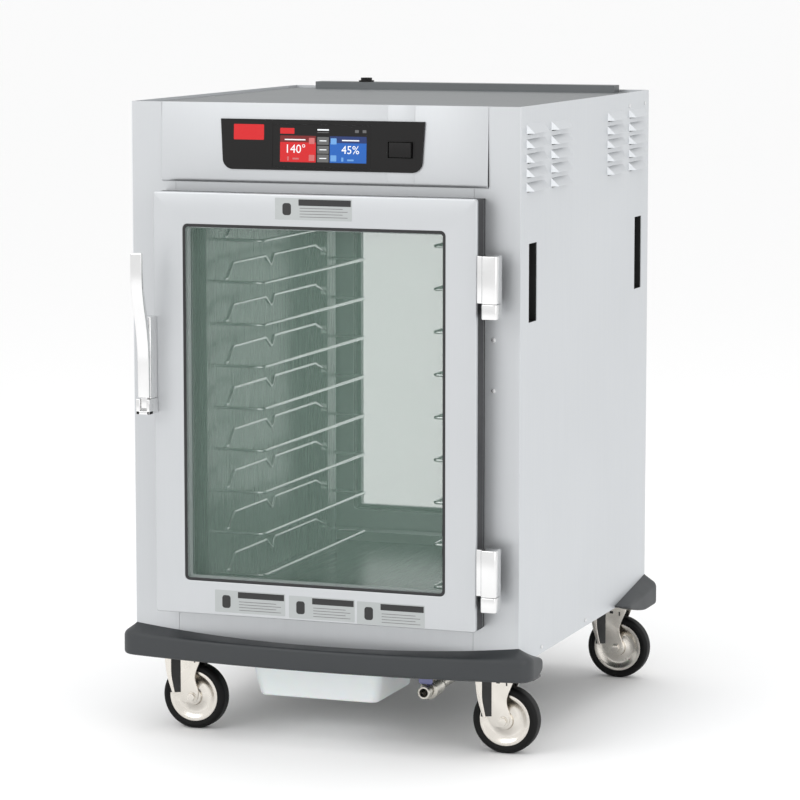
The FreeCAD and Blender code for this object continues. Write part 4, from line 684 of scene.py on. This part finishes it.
# %% Bumper paths
BODY_X, BODY_Y, BUMPER_X, BOW_Y = 363.0, 392.5, 388.0, 445.5
BOW_END, CORNER, BOW_DEEP = 358.0, 27.0, 30.5
FLOOR_Z, LIP_Z, CROWN_Z, CROWN_CLIMB = 141, 181, 178, 21


def half_path(tip, blunt):
    """Matching inner and outer points of the right half in plan, from the middle to the tip."""
    bow_t = np.linspace(0, 1, 28)
    bow = np.stack([bow_t * BOW_END, -BOW_Y + BOW_DEEP * bow_t ** 2], 1)
    bow_in = np.stack([bow_t * BODY_X, np.full(28, -BODY_Y)], 1)
    turn = np.linspace(0, math.pi / 2, 12)[1:]
    start = np.array([BOW_END, -BOW_Y + BOW_DEEP])
    end = np.array([BUMPER_X, start[1] + CORNER + 4])
    control = np.array([BUMPER_X - 1, start[1] + 3.5])
    t = (turn / turn[-1])[:, None]
    corner = (1 - t) ** 2 * start + 2 * t * (1 - t) * control + t ** 2 * end
    corner_in = np.stack([np.full(11, BODY_X), -BODY_Y + 4 * t[:, 0]], 1)
    side_t = np.linspace(0, 1, 22)[1:, None]
    side = end + side_t * (np.array([BUMPER_X, tip - blunt]) - end)
    side_in = np.stack([np.full(21, BODY_X),
                        -BODY_Y + 4 + side_t[:, 0] * (tip - blunt + BODY_Y - 4)], 1)
    nose_t = np.linspace(0, 1, 9)[1:]
    nose = np.stack([BODY_X + 2 + (BUMPER_X - BODY_X - 2) * np.cos(nose_t * math.pi / 2),
                     tip - blunt + blunt * np.sin(nose_t * math.pi / 2)], 1)
    nose_in = np.stack([np.full(8, BODY_X), tip - blunt + (blunt - 1) * nose_t], 1)
    return (np.concatenate([bow_in, corner_in, side_in, nose_in]),
            np.concatenate([bow, corner, side, nose]))


def bumper(tip, blunt, heel_start, heel, tail):
    """The moulded bumper. tip is where the side wing ends, heel_start and heel are where its
    bottom starts to climb and to which height, and tail is its top against the body at the tip."""
    inner, outer = half_path(tip, blunt)
    inner = np.concatenate([inner[::-1] * (-1, 1), inner[1:]])
    outer = np.concatenate([outer[::-1] * (-1, 1), outer[1:]])
    along = np.clip((inner[:, 1] + BODY_Y) / (tip + BODY_Y), 0, 1)
    crown = CROWN_Z + CROWN_CLIMB * (np.abs(inner[:, 0]) / BODY_X) ** 2.2
    inner_top = crown + (tail - CROWN_Z - CROWN_CLIMB) * along
    outer_top = LIP_Z + (tail - 2 - LIP_Z) * along
    bottom = FLOOR_Z + heel * np.clip((outer[:, 1] - heel_start) / (tip - heel_start), 0, 1) ** 1.4
    rings = []
    for near, far, low, lip, ridge in zip(inner, outer, bottom, outer_top, inner_top):
        out = far - near
        width = np.linalg.norm(out)
        soft = min(7.0, width * 0.35, (lip - low) * 0.4)
        section = rounded_polygon([(0, low), (width, low), (width, lip), (0, ridge)],
                                  [0.4, soft, soft, 0.8], 6)
        spot = near[None] + out[None] / width * section[:, :1]
        rings.append(np.concatenate([spot, section[:, 1:]], 1))
    return capped(np.array(rings))


front_bumper = bumper(-317.5, 20, -360, 19, 171)
rear_bumper = half_turn(bumper(-187.5, 26, -330, 30, 171))
for end, moulding in (("front", front_bumper), ("rear", rear_bumper)):
    piece(f"{end}_bumper_moulding", "cabinet", bumper_grain, [moulding],
          [f"{end}_bumper"], 50)
print("bumpers: 2 mouldings")

# %% [markdown]
# ## Casters
#
# Each caster swivels on a crown under its plate. The pressed legs carry a flange along their
# leading edge, the wheel is a pressed disc in a black tyre, and the front pair have a pedal.

# %% Caster parts
TRAIL, AXLE_Z, LEG_IN, LEG_OUT, LEG_TOP = 26.0, 60.0, 21.0, 24.5, 140.6
BRAKE_PIN = (38, 134.6)


def leg_slab(outline, sign, near, far, edge):
    """A plate of one leg: near and far are counted from the wheel's middle, towards -Y or +Y."""
    return slab(outline, "y", *((near, far) if sign < 0 else (-far, -near)), edge)


def leg(sign):
    """Pressed fork leg with a round foot about the axle and a stiff flange on its leading edge."""
    outline = rounded_polygon([(-24, LEG_TOP), (-18, 96), (6, 49), (36, 49), (40, 72), (30, 96),
                               (42, 124), (48, LEG_TOP)], [1, 22, 9, 11, 10, 14, 10, 1], 9)
    plate = leg_slab(outline, sign, LEG_IN, LEG_OUT, 0.8)
    flange = rounded_polygon([(-24, LEG_TOP), (-19, 98), (-8, 66), (-3, 66), (-10, 98), (-10, LEG_TOP)],
                             [0.6, 14, 2, 2, 12, 0.6], 7)
    lip = leg_slab(flange, sign, 29, 32.5, 0.9)
    # Painted shade: the web behind the flange and the two slots are near-black patches standing for the
    # shadow in the fold and in the openings.
    web = rounded_polygon(np.array([(-12, 32), (-9, 32), (6, 24.2), (2, 23.8)]) * (1, sign), 0.4, 3)
    dark = [slab(web[::sign], "z", 68, 140.4, 0.4)]
    for x, z, w, h in ((17, 130, 3.5, 2.5), (33, 128, 1.4, 4)):
        slot = rounded_polygon([(x - w, z - h), (x + w, z - h), (x + w, z + h), (x - w, z + h)], 0.8, 4)
        dark.append(leg_slab(slot, sign, LEG_OUT - 0.5, LEG_OUT + 0.2, 0.1))
    return [plate, lip] + [(*chunk, 1) for chunk in dark]


def hexagon(across, y):
    """A six-sided nut about the axle, across its corners, between two depths."""
    angle = np.arange(6) * math.pi / 3
    outline = np.stack([TRAIL + across * np.cos(angle), AXLE_Z + across * np.sin(angle)], 1)
    return slab(outline, "y", *y, 0.8)


def fork(braked):
    """Crown, kingpin, bridge, both legs, the axle bolt with its heads and the brake's cross pin."""
    chunks = [lathe([(27, 136.6), (27, 146), (25.5, 149), (20, 150.6)], (0, 0, 0), "z", 56),
              lathe([(6, 150.5), (6, 168), (4.5, 169)], (0, 0, 0), "z", 24),
              block((-24, 30), (-24, 24), (136.8, LEG_TOP), 5, 1)]
    for sign in (-1, 1):
        chunks += leg(sign)
    chunks.append(lathe([(6, -24), (6, 24)], (TRAIL, 0, AXLE_Z), "y", 24))
    for near, far in ((24.4, 26), (-26, -24.4)):
        chunks.append(lathe([(9.5, near), (9.5, far)], (TRAIL, 0, AXLE_Z), "y", 28))
    chunks += [hexagon(8.2, (25.9, 29.6)), hexagon(8.2, (-29.6, -25.9))]
    if braked:
        chunks.append(lathe([(3, -24.5), (3, 24.5)], (BRAKE_PIN[0], 0, BRAKE_PIN[1]), "y", 20))
    return chunks


half_disc = [(6.05, 19), (14, 19), (15.5, 18), (17, 13), (24, 9), (34, 9.5), (39, 12.5), (43, 14), (46, 13.6)]
disc = [(radius, -side) for radius, side in half_disc] + half_disc[::-1]
tread = rounded_polygon([(46, -14), (54, -16), (60, -12), (60, 12), (54, 16), (46, 14)],
                        [0.5, 2.5, 4.5, 4.5, 2.5, 0.5], 6)
pedal_outline = rounded_polygon([(-4, -4), (10, -3), (30, -1.5), (44, 1), (44, 5), (30, 5), (4, 5), (-4, 4)],
                                [2, 2, 4, 1.5, 1.5, 4, 2, 2], 6)
places = {"front_left": (-297, -335.5), "front_right": (297, -335.5), "rear_left": (-297, 358.5),
          "rear_right": (297, 358.5)}
for spot, (x, y) in places.items():
    braked = spot.startswith("front")
    by = (x, y, 0)
    piece(f"fork_shape_{spot}", f"swivel_{spot}", [zinc_plate, painted_shade_steel],
          [moved(chunk, by) for chunk in fork(braked)], [f"fork_{spot}"])
    wheel = lathe(disc, (TRAIL, 0, AXLE_Z), "y", 72, loop=True)
    ring = lathe(tread, (TRAIL, 0, AXLE_Z), "y", 96, loop=True)
    piece(f"wheel_shape_{spot}", f"roller_{spot}", zinc_plate, [moved(wheel, by)],
          [f"wheel_{spot}"])
    piece(f"tyre_shape_{spot}", f"roller_{spot}", tyre_rubber, [moved(ring, by)],
          [f"tyre_{spot}"])
    if braked:
        pedal = slab(pedal_outline + np.array(BRAKE_PIN), "y", -20, 20, 1.2)
        piece(f"pedal_shape_{spot}", f"pedal_{spot}", motor_paint, [moved(pedal, by)],
              [f"brake_{spot}"])
print("casters:", len(places))

# %% [markdown]
# ## Drip pan and drain
#
# The pan is one surface: rings climb the outside, turn over the rim and go down the inside.

# %% Drip pan
PAN_X, PAN_Y = (-147.0, 81.0), (-342.0, -159.0)


def pan_ring(grow, z, radius):
    """A rounded rectangle at a height, grown all round from the pan's outer bottom."""
    flat = rectangle((PAN_X[0] - grow, PAN_X[1] + grow), (PAN_Y[0] - grow, PAN_Y[1] + grow), radius, 9)
    return facing(flat, np.full(len(flat), z), "z")


# Each row is how far the ring is grown, its height and its corner radius.
pan_profile = [(-7, 70.0, 11), (-3, 70.5, 13), (-0.8, 72, 15), (0.5, 75, 16), (12.4, 130, 22), (13, 133, 22),
               (21.4, 133, 26), (22, 133.6, 26), (22, 134.6, 26), (21.4, 135, 26), (13, 135, 20),
               (11.2, 133.5, 20), (10.4, 130, 19), (-1.6, 77, 14), (-3, 73.6, 13), (-7, 72.2, 11)]
pan = capped(np.array([pan_ring(*row) for row in pan_profile]))
piece("drip_pan_moulding", "drip_tray", pan_plastic, [pan], ["drip_pan"], 60)
print("pan: one moulding of", len(pan_profile), "rings")

# %% Valve
VALVE_X, VALVE_Z, BALL_Y, RISER_Y = 180.0, 103.0, -326.0, -130.0
centre = (VALVE_X, 0, VALVE_Z)
nozzle = [(8, 372), (10.6, 372), (11.5, 371), (11.5, 366), (10.8, 365.5), (10.8, 362), (11.5, 361.5),
          (11.5, 348), (16, 346), (17, 345), (17, 307), (16, 306), (13.9, 306), (13.9, 300),
          (10.7, 300), (10.7, 290), (7, 290), (7, 312), (12.1, 318), (12.1, 334), (8, 340)]
RUN_RADIUS, BEND_RADIUS, NUT_RADIUS = 10.7, 16, 14
hexes = np.arange(6) * math.pi / 3
hex_outline = np.stack([VALVE_X + NUT_RADIUS * np.cos(hexes), VALVE_Z + NUT_RADIUS * np.sin(hexes)], 1)
bend = np.linspace(0, math.pi / 2, 10)
elbow = np.stack([np.full(10, VALVE_X), RISER_Y - BEND_RADIUS + BEND_RADIUS * np.sin(bend),
                  VALVE_Z + BEND_RADIUS - BEND_RADIUS * np.cos(bend)], 1)
run = np.concatenate([[(VALVE_X, -296, VALVE_Z)], elbow, [(VALVE_X, RISER_Y, 186)]])
valve = [lathe(nozzle, centre, "y", 48, loop=True), slab(hex_outline, "y", 290, 306, 1.2),
         pipe(run, RUN_RADIUS, 28), lathe([(8, 118), (8, 124.4), (7.4, 125)], (VALVE_X, BALL_Y, 0), "z", 28)]
piece("valve_shape", "cabinet", valve_plate, valve, ["valve_body"])
arm = [block((171, 189), (-361, -318), (125.6, 128.8), 5, 0.8),
       lathe([(9, 125.5), (9, 129), (8.2, 130), (4, 130)], (VALVE_X, BALL_Y, 0), "z", 32),
       slab(rectangle((167, 193), (117, 141), 5), "y", 359, 363, 1.5),
       lathe([(4, 103), (4, 126)], (VALVE_X, BALL_Y, 0), "z", 20)]
piece("drain_lever", "drain_handle", lever_vinyl, arm, ["valve_lever"])
print("drain: valve and lever")

# %% [markdown]
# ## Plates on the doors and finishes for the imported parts
#
# Four plain plates mark where notices sit, each with a dark band, a rounded mark and blank lines,
# and no wording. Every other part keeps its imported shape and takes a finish.

# %% Door plates
plate_grey = grained("plate_grey", (0.38, 0.40, 0.40), (0.42, 0.44, 0.44), (0.4, 0.5), 600, 0.02)
plate_band = grained("plate_band", (0.012, 0.012, 0.013), (0.02, 0.02, 0.02), (0.4, 0.5), 600, 0.02)
plate_line = grained("plate_line", (0.16, 0.16, 0.16), (0.20, 0.20, 0.20), (0.4, 0.5), 600, 0.02)
PLATE_Y, PLATE, MARK = 444.5, 0.12, 0.2
notices = [((-69, 74), (938, 976)), ((-187, -53), (238, 278)), ((-46, 78), (236, 276)),
           ((82, 208), (234, 274))]
plates = []


def printed(x, z, radius, steps, index):
    """A mark lying on a plate; index picks its material from the piece's list."""
    return (*slab(rectangle(x, z, radius, steps), "y", PLATE_Y + PLATE, PLATE_Y + MARK, 0.02, 2), index)


for (left, right), (low, high) in notices:
    plate = slab(rectangle((left, right), (low, high), 1.5, 4), "y", PLATE_Y, PLATE_Y + PLATE, 0.03, 2)
    plates.append((*plate, 0))
    plates.append(printed((left + 44, right - 2), (high - 13, high - 2), 0.6, 3, 1))
    plates.append(printed((left + 14, left + 30), (low + 8, high - 9), 5, 6, 1))
    for row in range(4):
        line = low + 5 + row * 5
        plates.append(printed((left + 46, right - 8 - 9 * (row % 2)), (line, line + 1.2), 0.4, 3, 2))
piece("door_plates", "front_door", [plate_grey, plate_band, plate_line], plates)
print("plates:", len(notices))

# %% Finishes
# The side panels take the lighter sheet: painted light on the sides.
finish_node(side_sheet_painted_light, "side_panel_right", "side_panel_left")
finish_node(top_sheet, "top_panel")
finish_node(body_sheet, "front_frame", "rear_frame")
# The inside parts and the base pan take the darkened sheets: painted shade for the cabinet's interior and
# underside.
finish_node(liner_sheet_painted_shade, "liner_walls", "water_reservoir", "air_duct")
finish_node(floor_sheet, "liner_floor", "liner_ceiling", "reservoir_cover", "base_pan")
finish_node(upright_sheet, "slide_uprights", "pan_rails")
finish_node(wire_plate, "pan_slides")
finish_node(cup_black, "grip_cups")
finish_node(batt_fibre, "insulation")
finish_node(trim_black, "control_bezel", "touch_display", "cord_gland")
finish_node(board_green, "control_electronics")
finish_node(motor_paint, "blower_motor")
finish_node(heater_plate, "heating_elements")
finish_node(zinc_plate, "caster_plates")
finish_node(polished, "screws", "impeller")
print("finishes given")

# %% [markdown]
# ## Stage, light and camera
#
# A pale floor and broad soft lamps, as in a product photograph, and the camera at the
# photograph's own angle.

# %% Stage
floor_paint = new_material("floor_paint", (0.96, 0.96, 0.96), 0.8)
floor_mesh = bpy.data.meshes.new("floor")
FLOOR = 500.0  # metres each way, so that no edge shows
floor_mesh.from_pydata([(-FLOOR, -FLOOR, 0), (FLOOR, -FLOOR, 0), (FLOOR, FLOOR, 0), (-FLOOR, FLOOR, 0)], [],
                       [(0, 1, 2, 3)])
floor_mesh.materials.append(floor_paint)
floor = bpy.data.objects.new("floor", floor_mesh)
bpy.context.scene.collection.objects.link(floor)

world = bpy.data.worlds.new("studio")
world.use_nodes = True
world.node_tree.nodes["Background"].inputs["Color"].default_value = (1, 1, 1, 1)
world.node_tree.nodes["Background"].inputs["Strength"].default_value = 1.0
bpy.context.scene.world = world
bpy.context.scene.view_settings.view_transform = "Standard"


def lamp(name, spot, size, power, target=(0, 0, 0.55)):
    """A square soft lamp aimed at a point."""
    light = bpy.data.lights.new(name, "AREA")
    light.size = size
    light.energy = power
    made = bpy.data.objects.new(name, light)
    made.location = spot
    aim = Vector(target) - Vector(spot)
    made.rotation_euler = aim.to_track_quat("-Z", "Y").to_euler()
    bpy.context.scene.collection.objects.link(made)


lamp("key", (-1.8, -3.6, 3.0), 2.6, 45)
lamp("fill", (3.6, -2.0, 1.8), 3.0, 30)
lamp("overhead", (0, 0.2, 3.8), 3.0, 20, (0, 0, 0))

# %% Camera
AZIMUTH, ELEVATION = math.radians(20.04), math.radians(7.33)
DISTANCE, LENS = 6.53, 157.8
view = np.array([math.sin(AZIMUTH) * math.cos(ELEVATION), -math.cos(AZIMUTH) * math.cos(ELEVATION),
                 math.sin(ELEVATION)])
camera_data = bpy.data.cameras.new("photo_camera")
camera_data.lens = LENS
camera_data.sensor_width = 36
camera = bpy.data.objects.new("photo_camera", camera_data)
camera.location = np.array([0, 0, 0.571]) + view * DISTANCE
camera.rotation_euler = (math.pi / 2 - ELEVATION, 0, AZIMUTH)
bpy.context.scene.collection.objects.link(camera)
bpy.context.scene.camera = camera
print("camera at", [round(value, 3) for value in camera.location])
